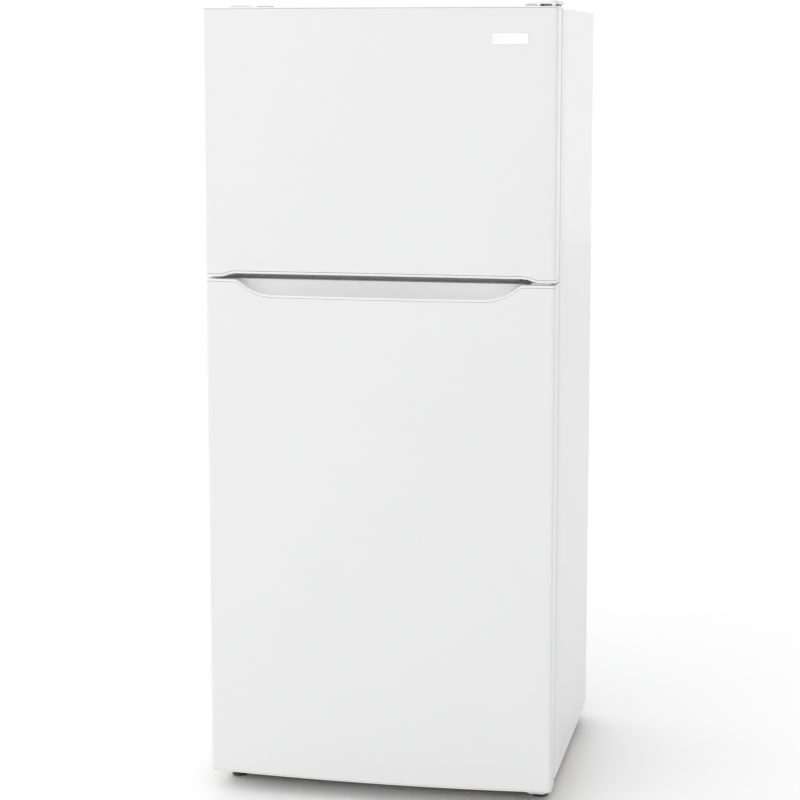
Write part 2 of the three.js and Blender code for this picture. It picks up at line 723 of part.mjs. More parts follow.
function crisperCover() {
  const top = CRISPER_COVER_TOP;
  const { half, front, rear } = SHELF;
  const plate = prism("z", roundedRectangle(-half, half, front, rear, 8), top - 6, top);
  const lip = box(-half + 4, half - 4, front, front + 4, top - 18, top - 5);
  const divider = box(-3, 3, CRISPER.front + 6, STEP.front - 4, FRIDGE_ROOM.bottom + GAP, top - 5);
  const rest = box(-half, half, STEP.front + 40, rear, STEP.top + GAP, top - 5);
  return join(plate, lip, divider, rest);
}

function crisper(side) {
  const xs = [side * CRISPER.inner, side * CRISPER.half].sort((a, b) => a - b);
  const { front, bottom, top, wall } = CRISPER;
  const rear = STEP.front - 6;
  const bowl = tray(...xs, front, rear, bottom, top, wall, 12);
  const middle = (xs[0] + xs[1]) / 2;
  const grip = box(middle - 75, middle + 75, front - 7, front + 1, top - 26, top - 22);
  return join(bowl, grip);
}

function freezerShelf() {
  const top = FREEZER_SHELF_TOP;
  const half = CAVITY_HALF - 3;
  const plate = box(-half, half, -150, 228, top - FREEZER_SHELF_THICK, top);
  const openings = [];
  const bars = 12;
  const pitch = (2 * half - 20) / bars;
  for (let i = 0; i < bars; i++) {
    const x = -half + 15 + pitch * i;
    openings.push(box(x, x + pitch - 10, -138, 216, top - 20, top + 5));
  }
  return cut(plate, ...openings);
}

const FAN = { x: 0, z: 1560, radius: 48 };
const FAN_MOTOR = { radius: 20, from: 34, to: 52 }; // behind the cover's face
const KNOB = { x: -230, z: 1262, radius: 19, depth: 12 };
const EVAPORATOR = { front: 246, rear: 284, bottom: 1280, top: 1434, half: 190, pitch: 38 };
const SHUTTER = { x0: -205, x1: -65, z0: 1205, z1: 1245 };

function evaporatorCover() {
  const y0 = EVAPORATOR_COVER_Y;
  const y1 = y0 + 3;
  const plate = box(-CAVITY_HALF + GAP, CAVITY_HALF - GAP, y0, y1,
    FREEZER_ROOM.bottom + GAP, FREEZER_ROOM.top - GAP);
  const grille = slots(FAN.x - 46, FAN.x + 46, y0 - 1, y1 + 1, FAN.z - 48, FAN.z + 48, 8);
  const returns = slots(SHUTTER.x0 + 10, SHUTTER.x1 - 20, y0 - 1, y1 + 1,
    SHUTTER.z0 + 5, SHUTTER.z1 - 5, 3);
  const knobHole = cylinder("y", KNOB.x, KNOB.z, y0 - 1, y1 + 1, BORE_RADIUS, 12);
  // The fan's motor hangs behind the grille from two bars.
  const motor = cylinder("y", FAN.x, FAN.z, y0 + FAN_MOTOR.from, y0 + FAN_MOTOR.to, FAN_MOTOR.radius);
  const bars = [-1, 1].map((side) =>
    join(
      box(FAN.x + side * 58 - 3, FAN.x + side * 58 + 3, y1 - 1, y0 + 50, FAN.z - 4, FAN.z + 4),
      box(Math.min(side * 61, side * 15), Math.max(side * 61, side * 15), y0 + 44, y0 + 50,
        FAN.z - 4, FAN.z + 4),
    ),
  );
  return join(cut(plate, ...grille, ...returns, knobHole), motor, ...bars);
}

function fan(axis, a, b, along, depth, radius, blades) {
  const hubRadius = radius * 0.3;
  const hub = cylinder(axis, a, b, along, along + depth, hubRadius, 16);
  const pitch = 0.6;
  const made = [];
  for (let i = 0; i < blades; i++) {
    const blade = new THREE.BoxGeometry(radius - hubRadius + 3, radius * 0.62, 1.6);
    blade.rotateX(pitch).translate((radius + hubRadius - 3) / 2, 0, 0);
    blade.rotateZ((2 * Math.PI * i) / blades);
    blade.applyMatrix4(ALONG[axis]);
    const middle = along + depth / 2;
    const shift = axis === "x" ? [middle, a, b] : [a, middle, b];
    made.push(solid(blade.translate(...shift)));
  }
  return join(hub, ...made);
}

function evaporatorFan() {
  return fan("y", FAN.x, FAN.z, EVAPORATOR_COVER_Y + 12, 18, FAN.radius, 4);
}

function evaporatorCoil() {
  const { front, rear, bottom, top, half, pitch } = EVAPORATOR;
  const tubes = [];
  for (let z = bottom + 20; z < top; z += pitch) {
    tubes.push(cylinder("x", (front + rear) / 2, z, -half - 15, half + 15, 5, 8));
  }
  const fins = [];
  for (let x = -half; x <= half; x += pitch) fins.push(box(x - 0.8, x + 0.8, front, rear, bottom, top));
  return join(...tubes, ...fins);
}

function airShutter() {
  const y0 = EVAPORATOR_COVER_Y + 3 + GAP;
  const { x0, x1, z0, z1 } = SHUTTER;
  const plate = box(x0, x1, y0, y0 + 2, z0, z1);
  return cut(plate, ...slots(x0 + 45, x1 - 5, y0 - 1, y0 + 3, z0 + 5, z1 - 5, 3));
}

function knob({ x, radius, depth }, z, face, shaft) {
  const body = cylinder("y", x, z, face - depth, face - GAP, radius, 20);
  const bar = box(x - 2.5, x + 2.5, face - depth - 5, face - depth + 1, z - radius + 3, z + radius - 3);
  return join(body, bar, cylinder("y", x, z, face - 1, face + shaft, PIN_RADIUS, 12));
}

// The controls hang from the fridge's ceiling.
const CONTROLS = { half: 140, front: -130, rear: 90, bottom: 1046 };
const DIAL = { x: 70, radius: 19, depth: 12 };

function controlHousing() {
  const { half, front, rear, bottom } = CONTROLS;
  const top = FRIDGE_ROOM.top - GAP;
  const side = points([
    [front, bottom + 12],
    [front + 12, bottom],
    [rear, bottom],
    [rear, top],
    [front, top],
  ]);
  const shell = prism("x", side, -half, half);
  const hollow = box(-half + 3, half - 3, front + 15, rear - 3, bottom + 3, top + 1);
  const bore = cylinder("y", DIAL.x, dialHeight(), front - 1, front + 16, BORE_RADIUS, 12);
  const lampOpening = box(-120, -10, front + 25, rear - 40, bottom - 1, bottom + 4);
  return cut(shell, hollow, bore, lampOpening);
}

function dialHeight() {
  return (CONTROLS.bottom + FRIDGE_ROOM.top) / 2 + 4;
}

// ---------------------------------------------------------------- machine space

const COMPRESSOR = { x: -190, y: 250, radius: 72, height: 146, feet: 12 };
const CONDENSER = { from: 20, to: 310, front: 192, pitch: 24, runs: 6, bottom: 80, rise: 45, radius: 4 };
const DRAIN_PAN = { left: 10, right: 325, front: 178, rear: 335, height: 26, wall: 2, radius: 10 };
const COOLING_FAN = { x: -62, y: 250, z: 125, radius: 62 };

function compressor() {
  const { x, y, radius, height, feet } = COMPRESSOR;
  const profile = [
    [0, 0],
    [radius - 6, 0],
    [radius, 10],
    [radius, height - 62],
    [radius - 8, height - 30],
    [radius - 28, height - 8],
    [0, height],
  ];
  const seat = TRAY_TOP + feet;
  const can = turned(profile, 24).translate([x, y, seat]);
  const plate = box(x - 92, x + 92, y - 62, y + 62, seat - 1, seat + 3);
  const corners = [-1, 1].flatMap((i) => [-1, 1].map((j) => [x + 80 * i, y + 50 * j]));
  const mounts = corners.map(([a, b]) => cylinder("z", a, b, TRAY_TOP + GAP, seat, 9, 10));
  return join(can, plate, ...mounts);
}

function coolingFanMotor() {
  const { x, y, z } = COOLING_FAN;
  const can = cylinder("x", y, z, x - 34, x - 6, 22, 16);
  const post = box(x - 30, x - 10, y - 8, y + 8, TRAY_TOP + GAP, z - 10);
  const foot = box(x - 34, x - 4, y - 30, y + 30, TRAY_TOP + GAP, TRAY_TOP + 3);
  return join(can, post, foot);
}

function coolingFan() {
  const { x, y, z, radius } = COOLING_FAN;
  return fan("x", y, z, x - 3, 20, radius, 5);
}

// The condenser's tube runs to and fro in two layers over the drain pan.
function condenserCoil() {
  const route = [];
  const { from, to, front, pitch, runs, bottom, rise, radius } = CONDENSER;
  for (let layer = 0; layer < 2; layer++) {
    const z = bottom + rise * layer;
    for (let i = 0; i < runs; i++) {
      const step = layer ? runs - 1 - i : i;
      const y = front + pitch * step;
      const forward = i % 2 === layer % 2 ? 1 : -1;
      const ends = forward > 0 ? [from, to] : [to, from];
      route.push([ends[0], y, z], [ends[1], y, z]);
    }
  }
  return tube(route, radius, 6, 110);
}

function drainPan() {
  const { left, right, front, rear, height, wall, radius } = DRAIN_PAN;
  return tray(left, right, front, rear, TRAY_TOP + GAP, TRAY_TOP + height, wall, radius);
}

const GLAND = { x: -310, z: 90, radius: 9, flange: 14 };
const COVER_SHEET = 1.5;

function machineCover() {
  const half = HALF - 19;
  const low = CABINET_BOTTOM + 5;
  const high = MACHINE.top - 4;
  const inside = COVER_REAR_Y - COVER_SHEET;
  const pan = box(-half, half, REAR_Y + GAP, COVER_REAR_Y, low, high);
  const hollow = box(-half + COVER_SHEET, half - COVER_SHEET, REAR_Y, inside,
    low + COVER_SHEET, high - COVER_SHEET);
  const vents = [-220, 0, 220].flatMap((x) =>
    slots(x - 80, x + 80, inside - 1, COVER_REAR_Y + 1, 130, 230, 6));
  const hole = cylinder("y", GLAND.x, GLAND.z, inside - 1, COVER_REAR_Y + 1, GLAND.radius + 0.5);
  return cut(pan, hollow, ...vents, hole);
}

// Where the supply cord would come out.
function cordGland() {
  const { x, z, radius } = GLAND;
  const flange = cylinder("y", x, z, COVER_REAR_Y + GAP, COVER_REAR_Y + 3, GLAND.flange);
  const neck = cylinder("y", x, z, COVER_REAR_Y - 9, COVER_REAR_Y + 1, radius);
  const bore = cylinder("y", x, z, COVER_REAR_Y - 10, COVER_REAR_Y + 4, radius / 2, 12);
  return cut(join(flange, neck), bore);
}

// ---------------------------------------------------------------- legs and rollers

function leg(side) {
  const profile = [
    [0, 0],
    [16, 0],
    [17.5, 2],
    [13, 9],
    [5, 11],
    [5, LEG_TOP],
    [0, LEG_TOP],
  ];
  return turned(profile, 16).translate([side * FOOT_X, LEG_Y, 0]);
}

function roller(side) {
  const { radius, half, bore, y } = ROLLER;
  const profile = [
    [bore, -half],
    [radius - 2, -half],
    [radius, -half + 2],
    [radius, half - 2],
    [radius - 2, half],
    [bore, half],
    [bore, -half],
  ];
  const wheel = turned(profile, 24).rotate([0, 90, 0]);
  return wheel.translate([side * FOOT_X, y, radius]);
}

// ---------------------------------------------------------------- the assembly

part("cabinet_wrapper", cabinetWrapper(), WHITE_PAINT);
part("cabinet_foam", cabinetFoam(), FOAM);
part("freezer_liner", freezerLiner(), WHITE_PLASTIC);
part("fridge_liner", fridgeLiner(), WHITE_PLASTIC);
part("mullion_bar", mullion(), WHITE_PAINT);
part("back_panel", backPanel(), ZINC);
part("base_frame", baseFrame(), ZINC);
part("toe_grille", toeGrille(), WHITE_PLASTIC);

freezerDoor();
fridgeDoor();

part("top_hinge", topHinge(), GREY_PLASTIC);
part("top_hinge_cover", topHingeCover(), WHITE_PLASTIC);
part("left_hinge_cap", leftHingeCap(), WHITE_PLASTIC);
part("centre_hinge", centreHinge(), WHITE_PAINT);
part("bottom_hinge", bottomHinge(), WHITE_PAINT);

for (const [name, top] of Object.entries(SHELF_TOPS)) {
  part(`shelf_${name}_frame`, shelfFrame(top), WHITE_PLASTIC);
  part(`shelf_${name}_glass`, shelfGlass(top), GLASS);
}
part("crisper_cover", crisperCover(), CLEAR_PLASTIC);
part("crisper_left", crisper(-1), CLEAR_PLASTIC);
part("crisper_right", crisper(1), CLEAR_PLASTIC);
part("freezer_shelf", freezerShelf(), WHITE_PLASTIC);
part("evaporator_cover", evaporatorCover(), WHITE_PLASTIC);
part("evaporator_fan", evaporatorFan(), GREY_PLASTIC);
part("evaporator_coil", evaporatorCoil(), ALUMINIUM);
part("air_shutter", airShutter(), GREY_PLASTIC);
part("freezer_knob", knob(KNOB, KNOB.z, EVAPORATOR_COVER_Y, 5), GREY_PLASTIC);
part("control_housing", controlHousing(), WHITE_PLASTIC);
part("control_dial", knob(DIAL, dialHeight(), CONTROLS.front, 10), GREY_PLASTIC);
part("light_switch", lightSwitch(), WHITE_PLASTIC);

part("compressor", compressor(), DARK_STEEL);
part("cooling_fan_motor", coolingFanMotor(), DARK_STEEL);
part("cooling_fan", coolingFan(), BLACK_RUBBER);
part("condenser_coil", condenserCoil(), COPPER);
part("drain_pan", drainPan(), BLACK_RUBBER);
part("machine_cover", machineCover(), ZINC);
part("cord_gland", cordGland(), BLACK_RUBBER);

for (const [name, side] of [["left", -1], ["right", 1]]) {
  part(`leg_${name}`, leg(side), DARK_STEEL);
  part(`roller_${name}`, roller(side), BLACK_RUBBER);
}

export default fridge;
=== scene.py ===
"""The looks of a top-freezer refrigerator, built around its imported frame. Metres, +Z up, doors facing -Y."""

import math

import bmesh
import bpy
from mathutils import Matrix, Vector


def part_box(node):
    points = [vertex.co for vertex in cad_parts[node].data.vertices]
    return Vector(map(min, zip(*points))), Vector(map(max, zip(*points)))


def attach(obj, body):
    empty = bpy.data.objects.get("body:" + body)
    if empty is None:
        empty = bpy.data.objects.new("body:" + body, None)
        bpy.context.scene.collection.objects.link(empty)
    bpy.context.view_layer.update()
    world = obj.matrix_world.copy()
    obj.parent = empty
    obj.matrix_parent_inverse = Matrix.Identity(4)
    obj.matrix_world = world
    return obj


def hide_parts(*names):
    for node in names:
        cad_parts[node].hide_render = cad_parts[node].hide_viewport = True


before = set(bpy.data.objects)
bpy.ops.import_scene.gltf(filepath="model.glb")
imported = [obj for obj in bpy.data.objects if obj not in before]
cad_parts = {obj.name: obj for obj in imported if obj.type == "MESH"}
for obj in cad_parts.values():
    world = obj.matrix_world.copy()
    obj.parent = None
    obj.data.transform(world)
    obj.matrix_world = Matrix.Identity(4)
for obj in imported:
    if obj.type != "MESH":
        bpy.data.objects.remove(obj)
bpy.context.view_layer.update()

# ------------------------------------------------------------------ sizes shared by several pieces

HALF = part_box("fridge_door_skin")[1].x
DOOR_BULGE = 0.0195  # how far the middle of a door stands ahead of its vertical edges
DOOR_EDGE_RADIUS = 0.008
DOOR_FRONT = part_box("fridge_door_skin")[0].y
DOOR_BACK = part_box("fridge_door_skin")[1].y
DOOR_CORNER = DOOR_FRONT + DOOR_BULGE
BACK_CHAMFER = 0.005
RIM_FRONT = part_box("cabinet_wrapper")[0].y
FRIDGE_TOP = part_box("fridge_door_handle_cap")[1].z
FRIDGE_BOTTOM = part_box("fridge_door_bottom_cap")[0].z
FREEZER_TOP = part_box("freezer_door_top_cap")[1].z
FREEZER_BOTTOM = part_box("freezer_door_bottom_cap")[0].z
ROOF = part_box("cabinet_wrapper")[1].z
HINGE_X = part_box("centre_hinge")[1].x - 0.015
HINGE_Y = -0.316

SCOOP_HALF = 0.311
SCOOP_FLAT = 0.225
SCOOP_DEPTH = 0.0315
SCOOP_REAR = -0.324
ARCH_HALF = 0.347
ARCH_SHOULDER = 0.313
ARCH_SHOULDER_RISE = 0.008
ARCH_RISE = 0.0095
CAP_RIM = 0.0055  # height of the plastic rim that shows around an end cap
SEAM = 0.0002  # the same at the plain caps
PARTING = 0.0005  # the fine line between a rim and the painted sheet


# ------------------------------------------------------------------ camera, light and floor


def place_camera():
    """A long lens at the front right, near the top's height, looking slightly down."""
    data = bpy.data.cameras.new("camera")
    data.sensor_width = 36
    data.lens = 97.3
    data.shift_y = -0.0575
    camera = bpy.data.objects.new("camera", data)
    camera.location = (0.968, -4.818, 1.625)
    camera.rotation_euler = (math.radians(90 - 7.9), 0, math.radians(11.61))
    bpy.context.collection.objects.link(camera)
    bpy.context.scene.camera = camera


def area_light(name, location, target, size, power):
    """A rectangular area light that faces its target."""
    data = bpy.data.lights.new(name, "AREA")
    data.shape = "RECTANGLE"
    data.size, data.size_y = size
    data.energy = power
    light = bpy.data.objects.new(name, data)
    light.location = location
    direction = Vector(target) - Vector(location)
    light.rotation_euler = direction.to_track_quat("-Z", "Y").to_euler()
    bpy.context.collection.objects.link(light)


ROOM_LIGHT = 1.2
SHADED = 0.5  # how bright the room is on the far right, over how bright it is elsewhere


def light_studio():
    """A white room with a darker right wall, a soft key from the front left and one overhead."""
    world = bpy.data.worlds.new("studio")
    world.use_nodes = True
    background = world.node_tree.nodes["Background"]
    background.inputs["Color"].default_value = (1, 1, 1, 1)
    nodes, links = world.node_tree.nodes, world.node_tree.links
    direction = nodes.new("ShaderNodeTexCoord")
    parts = nodes.new("ShaderNodeSeparateXYZ")
    links.new(direction.outputs["Generated"], parts.inputs["Vector"])
    shares = []
    for axis, start, end in (("X", 0.35, 0.55), ("Z", -0.02, 0.06)):
        share = nodes.new("ShaderNodeMapRange")
        share.inputs["From Min"].default_value, share.inputs["From Max"].default_value = start, end
        links.new(parts.outputs[axis], share.inputs["Value"])
        shares.append(share.outputs["Result"])
    both = nodes.new("ShaderNodeMath")
    both.operation = "MULTIPLY"
    for index, share in enumerate(shares):
        links.new(share, both.inputs[index])
    light = nodes.new("ShaderNodeMapRange")
    light.inputs["To Min"].default_value = ROOM_LIGHT
    light.inputs["To Max"].default_value = ROOM_LIGHT * SHADED
    links.new(both.outputs["Value"], light.inputs["Value"])
    links.new(light.outputs["Result"], background.inputs["Strength"])
    bpy.context.scene.world = world
    bpy.context.scene.view_settings.view_transform = "Standard"
    area_light("key", (-2.6, -3.6, 3.2), (0, 0, 0.9), (2.4, 2.4), 9)
    area_light("overhead", (0, -0.5, 5.0), (0, -0.5, 0), (5.0, 5.0), 8)


def lay_floor():
    """A plain pale floor, far wider than the object."""
    mesh = bpy.data.meshes.new("floor")
    floor = bpy.data.objects.new("floor", mesh)
    reach = 14
    corners = [(-reach, -reach, 0), (reach, -reach, 0), (reach, reach, 0), (-reach, reach, 0)]
    mesh.from_pydata(corners, [], [(0, 1, 2, 3)])
    mesh.materials.append(FLOOR)
    bpy.context.collection.objects.link(floor)


# ------------------------------------------------------------------ materials


class Finish:
    """A Principled material being put together. Noise feeds its colour, roughness and bump."""

    def __init__(self, name, roughness, metallic=0.0, **sockets):
        self.material = bpy.data.materials.new(name)
        self.material.use_nodes = True
        self.tree = self.material.node_tree
        self.shader = self.tree.nodes["Principled BSDF"]
        self.place = self.tree.nodes.new("ShaderNodeTexCoord").outputs["Object"]
        self.height = None
        self.set("Roughness", roughness)
        self.set("Metallic", metallic)
        for socket, value in sockets.items():
            self.set(socket.replace("_", " "), value)

    def set(self, socket, value):
        self.shader.inputs[socket].default_value = value

    def link(self, output, node, socket):
        self.tree.links.new(output, node.inputs[socket])

    def noise(self, size, detail=3.0, stretch=(1, 1, 1)):
        """Noise with features about size across, stretched along an axis where that number is under 1."""
        mapping = self.tree.nodes.new("ShaderNodeMapping")
        mapping.inputs["Scale"].default_value = stretch
        self.link(self.place, mapping, "Vector")
        noise = self.tree.nodes.new("ShaderNodeTexNoise")
        noise.inputs["Scale"].default_value = 1 / size
        noise.inputs["Detail"].default_value = detail
        self.link(mapping.outputs["Vector"], noise, "Vector")
        return noise.outputs["Fac"]

    def cells(self, size, output="Distance"):
        voronoi = self.tree.nodes.new("ShaderNodeTexVoronoi")
        voronoi.inputs["Scale"].default_value = 1 / size
        self.link(self.place, voronoi, "Vector")
        return voronoi.outputs[output]

    def spread(self, source, low, high, edges=(0.3, 0.7)):
        """source mapped from edges to low and high."""
        node = self.tree.nodes.new("ShaderNodeMapRange")
        self.link(source, node, "Value")
        node.inputs["From Min"].default_value, node.inputs["From Max"].default_value = edges
        node.inputs["To Min"].default_value, node.inputs["To Max"].default_value = low, high
        return node.outputs["Result"]

    def mix(self, share, a, b):
        node = self.tree.nodes.new("ShaderNodeMix")
        node.data_type = "RGBA"
        self.link(share, node, "Factor")
        for index, value in ((6, a), (7, b)):
            if isinstance(value, tuple):
                node.inputs[index].default_value = (*value, 1)
            else:
                self.tree.links.new(value, node.inputs[index])
        return node.outputs[2]

    def worn_edges(self, colour, worn, strength=0.5):
        """colour turning to worn where the surface is sharply convex."""
        geometry = self.tree.nodes.new("ShaderNodeNewGeometry")
        share = self.spread(geometry.outputs["Pointiness"], 0, strength, (0.52, 0.6))
        return self.mix(share, colour, worn)

    def paint(self, colour):
        self.link(colour, self.shader, "Base Color")

    def rough(self, source, low, high):
        self.link(self.spread(source, low, high, (0.0, 1.0)), self.shader, "Roughness")

    def bump(self, source, depth, strength=1.0):
        node = self.tree.nodes.new("ShaderNodeBump")
        node.inputs["Distance"].default_value = depth
        node.inputs["Strength"].default_value = strength
        self.link(source, node, "Height")
        if self.height:
            self.link(self.height, node, "Normal")
        self.height = node.outputs["Normal"]
        self.link(self.height, self.shader, "Normal")


def shade(colour, factor):
    """A colour with every channel scaled by a factor."""
    return tuple(channel * factor for channel in colour)


def sheet_paint(name, colour):
    """Baked enamel on steel: orange peel, a trace of waviness and a hard clear gloss."""
    finish = Finish(name, 0.3, IOR=1.5, Coat_Weight=0.25, Coat_Roughness=0.12)
    tone = finish.mix(finish.noise(0.35), shade(colour, 0.994), shade(colour, 1.004))
    finish.paint(finish.worn_edges(tone, shade(colour, 1.03), 0.3))
    finish.rough(finish.noise(0.15, 2), 0.27, 0.35)
    finish.bump(finish.noise(0.0035, 2), 0.00003, 0.4)
    return finish.material


def moulding(name, colour, roughness=0.38, grain=0.0008, **sockets):
    """Moulded plastic with a fine spark-eroded grain, slight flow marks and paler edges."""
    finish = Finish(name, roughness, IOR=1.46, **sockets)
    tone = finish.mix(finish.noise(0.08, 4), shade(colour, 0.975), shade(colour, 1.015))
    finish.paint(finish.worn_edges(tone, shade(colour, 1.08), 0.35))
    finish.rough(finish.noise(0.03), roughness - 0.05, roughness + 0.06)
    finish.bump(finish.noise(grain, 2), 0.00003, 0.6)
    return finish.material


def clear_moulding(name, tint, roughness):
    """See-through polystyrene: faint flow lines and a soft frosting."""
    finish = Finish(name, roughness, IOR=1.49, Transmission_Weight=0.9, Specular_IOR_Level=0.5)
    finish.paint(finish.mix(finish.noise(0.12, 3), shade(tint, 0.985), tint))
    finish.rough(finish.noise(0.02, 4), roughness - 0.02, roughness + 0.05)
    finish.bump(finish.noise(0.03, 2, (1, 0.25, 1)), 0.0001, 0.25)
    return finish.material


def sheet_glass():
    """Clear shelf glass."""
    finish = Finish("shelf_glass", 0.02, IOR=1.5, Transmission_Weight=0.93)
    finish.paint(finish.mix(finish.noise(0.2), (0.82, 0.93, 0.89), (0.88, 0.96, 0.93)))
    finish.rough(finish.noise(0.06, 5), 0.01, 0.06)
    finish.bump(finish.noise(0.15, 1), 0.00008, 0.2)
    return finish.material


def gasket_rubber():
    """Soft pale door seal."""
    finish = Finish("gasket_rubber", 0.6, IOR=1.5, Sheen_Weight=0.15)
    tone = finish.mix(finish.noise(0.02, 4), (0.64, 0.645, 0.64), (0.7, 0.705, 0.7))
    finish.paint(finish.worn_edges(tone, (0.76, 0.76, 0.75), 0.4))
    finish.rough(finish.noise(0.01), 0.52, 0.7)
    finish.bump(finish.noise(0.0012, 3), 0.00006, 0.5)
    return finish.material


def foam_fill():
    """Blown insulation."""
    finish = Finish("foam", 0.9, Subsurface_Weight=0.1)
    tone = finish.mix(finish.cells(0.002), (0.62, 0.52, 0.26), (0.78, 0.69, 0.42))
    finish.paint(finish.mix(finish.noise(0.05, 4), tone, (0.7, 0.6, 0.34)))
    finish.rough(finish.noise(0.01), 0.82, 0.98)
    finish.bump(finish.cells(0.002), 0.0008, 0.8)
    return finish.material


def galvanised(name, colour):
    """Zinc-coated sheet: spangles of slightly different tone and gloss."""
    finish = Finish(name, 0.42, metallic=0.85)
    tone = finish.mix(finish.cells(0.012, "Color"), shade(colour, 0.86), shade(colour, 1.08))
    finish.paint(finish.worn_edges(tone, shade(colour, 1.25), 0.5))
    finish.rough(finish.cells(0.012), 0.34, 0.52)
    finish.bump(finish.noise(0.004, 3), 0.00005, 0.4)
    return finish.material


def enamelled_steel(name, colour, roughness):
    """Black stoved paint on castings and pressings, worn at its edges."""
    finish = Finish(name, roughness, IOR=1.5, Coat_Weight=0.2, Coat_Roughness=0.2)
    tone = finish.mix(finish.noise(0.02, 5), shade(colour, 0.8), shade(colour, 1.3))
    finish.paint(finish.worn_edges(tone, (0.22, 0.22, 0.22), 0.35))
    finish.rough(finish.noise(0.01, 4), roughness - 0.08, roughness + 0.12)
    finish.bump(finish.noise(0.002, 3), 0.0001, 0.6)
    return finish.material


def bare_metal(name, colour, roughness, brushed=(1, 1, 1)):
    """Unpainted metal, brushed along the axis whose number is under 1."""
    finish = Finish(name, roughness, metallic=1.0)
    tone = finish.mix(finish.noise(0.015, 5), shade(colour, 0.85), colour)
    finish.paint(finish.worn_edges(tone, shade(colour, 1.15), 0.5))
    finish.rough(finish.noise(0.004, 5, brushed), roughness - 0.1, roughness + 0.1)
    finish.bump(finish.noise(0.002, 4, brushed), 0.00005, 0.4)
    return finish.material


def dark_rubber(name):
    """Nearly black rubber."""
    finish = Finish(name, 0.7, Sheen_Weight=0.1)
    tone = finish.mix(finish.noise(0.01, 5), (0.018, 0.018, 0.02), (0.035, 0.035, 0.037))
    finish.paint(finish.worn_edges(tone, (0.09, 0.09, 0.09), 0.5))
    finish.rough(finish.noise(0.006, 4), 0.6, 0.85)
    finish.bump(finish.noise(0.0012, 3), 0.0001, 0.6)
    return finish.material


def floor_finish():
    """Pale studio floor."""
    finish = Finish("studio_floor", 0.55)
    finish.paint(finish.mix(finish.noise(0.8), (0.93, 0.93, 0.93), (0.95, 0.95, 0.95)))
    return finish.material


WHITE = (0.778, 0.780, 0.780)
PAINT = sheet_paint("white_paint", WHITE)
PLASTIC = moulding("white_plastic", (0.83, 0.83, 0.83))
LINING = moulding("liner_plastic", (0.8, 0.81, 0.815), 0.3, 0.0015)
GREY = moulding("grey_plastic", (0.42, 0.43, 0.44), 0.45)
LIGHT_GREY = moulding("light_grey_plastic", (0.68, 0.685, 0.69), 0.42)
BLACK = moulding("black_plastic", (0.022, 0.022, 0.024), 0.5)
CLEAR = clear_moulding("clear_plastic", (0.97, 0.985, 0.99), 0.05)
FROSTED = clear_moulding("frosted_lens", (0.97, 0.97, 0.94), 0.3)
GLASS = sheet_glass()
BADGE_WHITE = moulding("badge_white", (0.93, 0.93, 0.93), 0.25, 0.0015)
RUBBER = gasket_rubber()
FOAM = foam_fill()
ZINC = galvanised("zinc_steel", (0.55, 0.56, 0.57))
STEEL = bare_metal("bright_steel", (0.62, 0.63, 0.64), 0.3)
DARK = enamelled_steel("dark_steel", (0.02, 0.02, 0.022), 0.35)
DARK_RUBBER = dark_rubber("dark_rubber")
COPPER = bare_metal("copper", (0.75, 0.36, 0.22), 0.32, (1, 0.2, 0.2))
ALUMINIUM = bare_metal("aluminium", (0.76, 0.77, 0.78), 0.38, (1, 1, 0.15))
FLOOR = floor_finish()


# ------------------------------------------------------------------ mesh helpers


def new_object(name, mesh, material):
    """An object in the scene with one material."""
    piece = bpy.data.objects.new(name, mesh)
    mesh.materials.append(material)
    bpy.context.collection.objects.link(piece)
    return piece


def smooth(piece, degrees=35):
    """Smooth shading, with edges sharper than that left sharp."""
    mesh = piece.data
    mesh.polygons.foreach_set("use_smooth", [True] * len(mesh.polygons))
    mesh.set_sharp_from_angle(angle=math.radians(degrees))


def bevelled(piece, width, segments=2, degrees=35):
    """Eases the edges sharper than an angle."""
    bevel = piece.modifiers.new("edges", "BEVEL")
    bevel.width = width
    bevel.segments = segments
    bevel.limit_method = "ANGLE"
    bevel.angle_limit = math.radians(degrees)
    bevel.harden_normals = False
    return piece


def apply_modifiers(piece):
    """The piece's mesh as its modifiers leave it."""
    bpy.context.view_layer.update()
    evaluated = piece.evaluated_get(bpy.context.evaluated_depsgraph_get())
    mesh = bpy.data.meshes.new_from_object(evaluated)
    piece.modifiers.clear()
    piece.data = mesh


def close_up(mesh, distance=1e-6):
    """Merges doubled points, drops flat faces and turns the faces out."""
    bm = bmesh.new()
    bm.from_mesh(mesh)
    bmesh.ops.remove_doubles(bm, verts=bm.verts, dist=distance)
    bmesh.ops.dissolve_degenerate(bm, dist=distance, edges=bm.edges)
    bmesh.ops.recalc_face_normals(bm, faces=bm.faces)
    bm.to_mesh(mesh)
    bm.free()


def loft(name, rings, material, closed_path=False, capped=True):
    """A skin over rings of the same number of points."""
    count = len(rings[0])
    points = [point for ring in rings for point in ring]
    faces = []
    spans = len(rings) if closed_path else len(rings) - 1
    for i in range(spans):
        a, b = i * count, (i + 1) % len(rings) * count
        for j in range(count):
            k = (j + 1) % count
            faces.append((a + j, a + k, b + k, b + j))
    if capped and not closed_path:
        faces.append(tuple(range(count)))
        faces.append(tuple(range((len(rings) - 1) * count, len(rings) * count)))
    mesh = bpy.data.meshes.new(name)
    mesh.from_pydata(points, [], faces)
    close_up(mesh)
    return new_object(name, mesh, material)


def joined(name, pieces, material=None):
    """Several objects as one, with their modifiers applied."""
    bm = bmesh.new()
    for piece in pieces:
        apply_modifiers(piece)
        piece.data.transform(piece.matrix_world)
        bm.from_mesh(piece.data)
    mesh = bpy.data.meshes.new(name)
    bm.to_mesh(mesh)
    bm.free()
    whole = new_object(name, mesh, material or pieces[0].data.materials[0])
    for piece in pieces:
        bpy.data.objects.remove(piece)
    smooth(whole)
    return whole


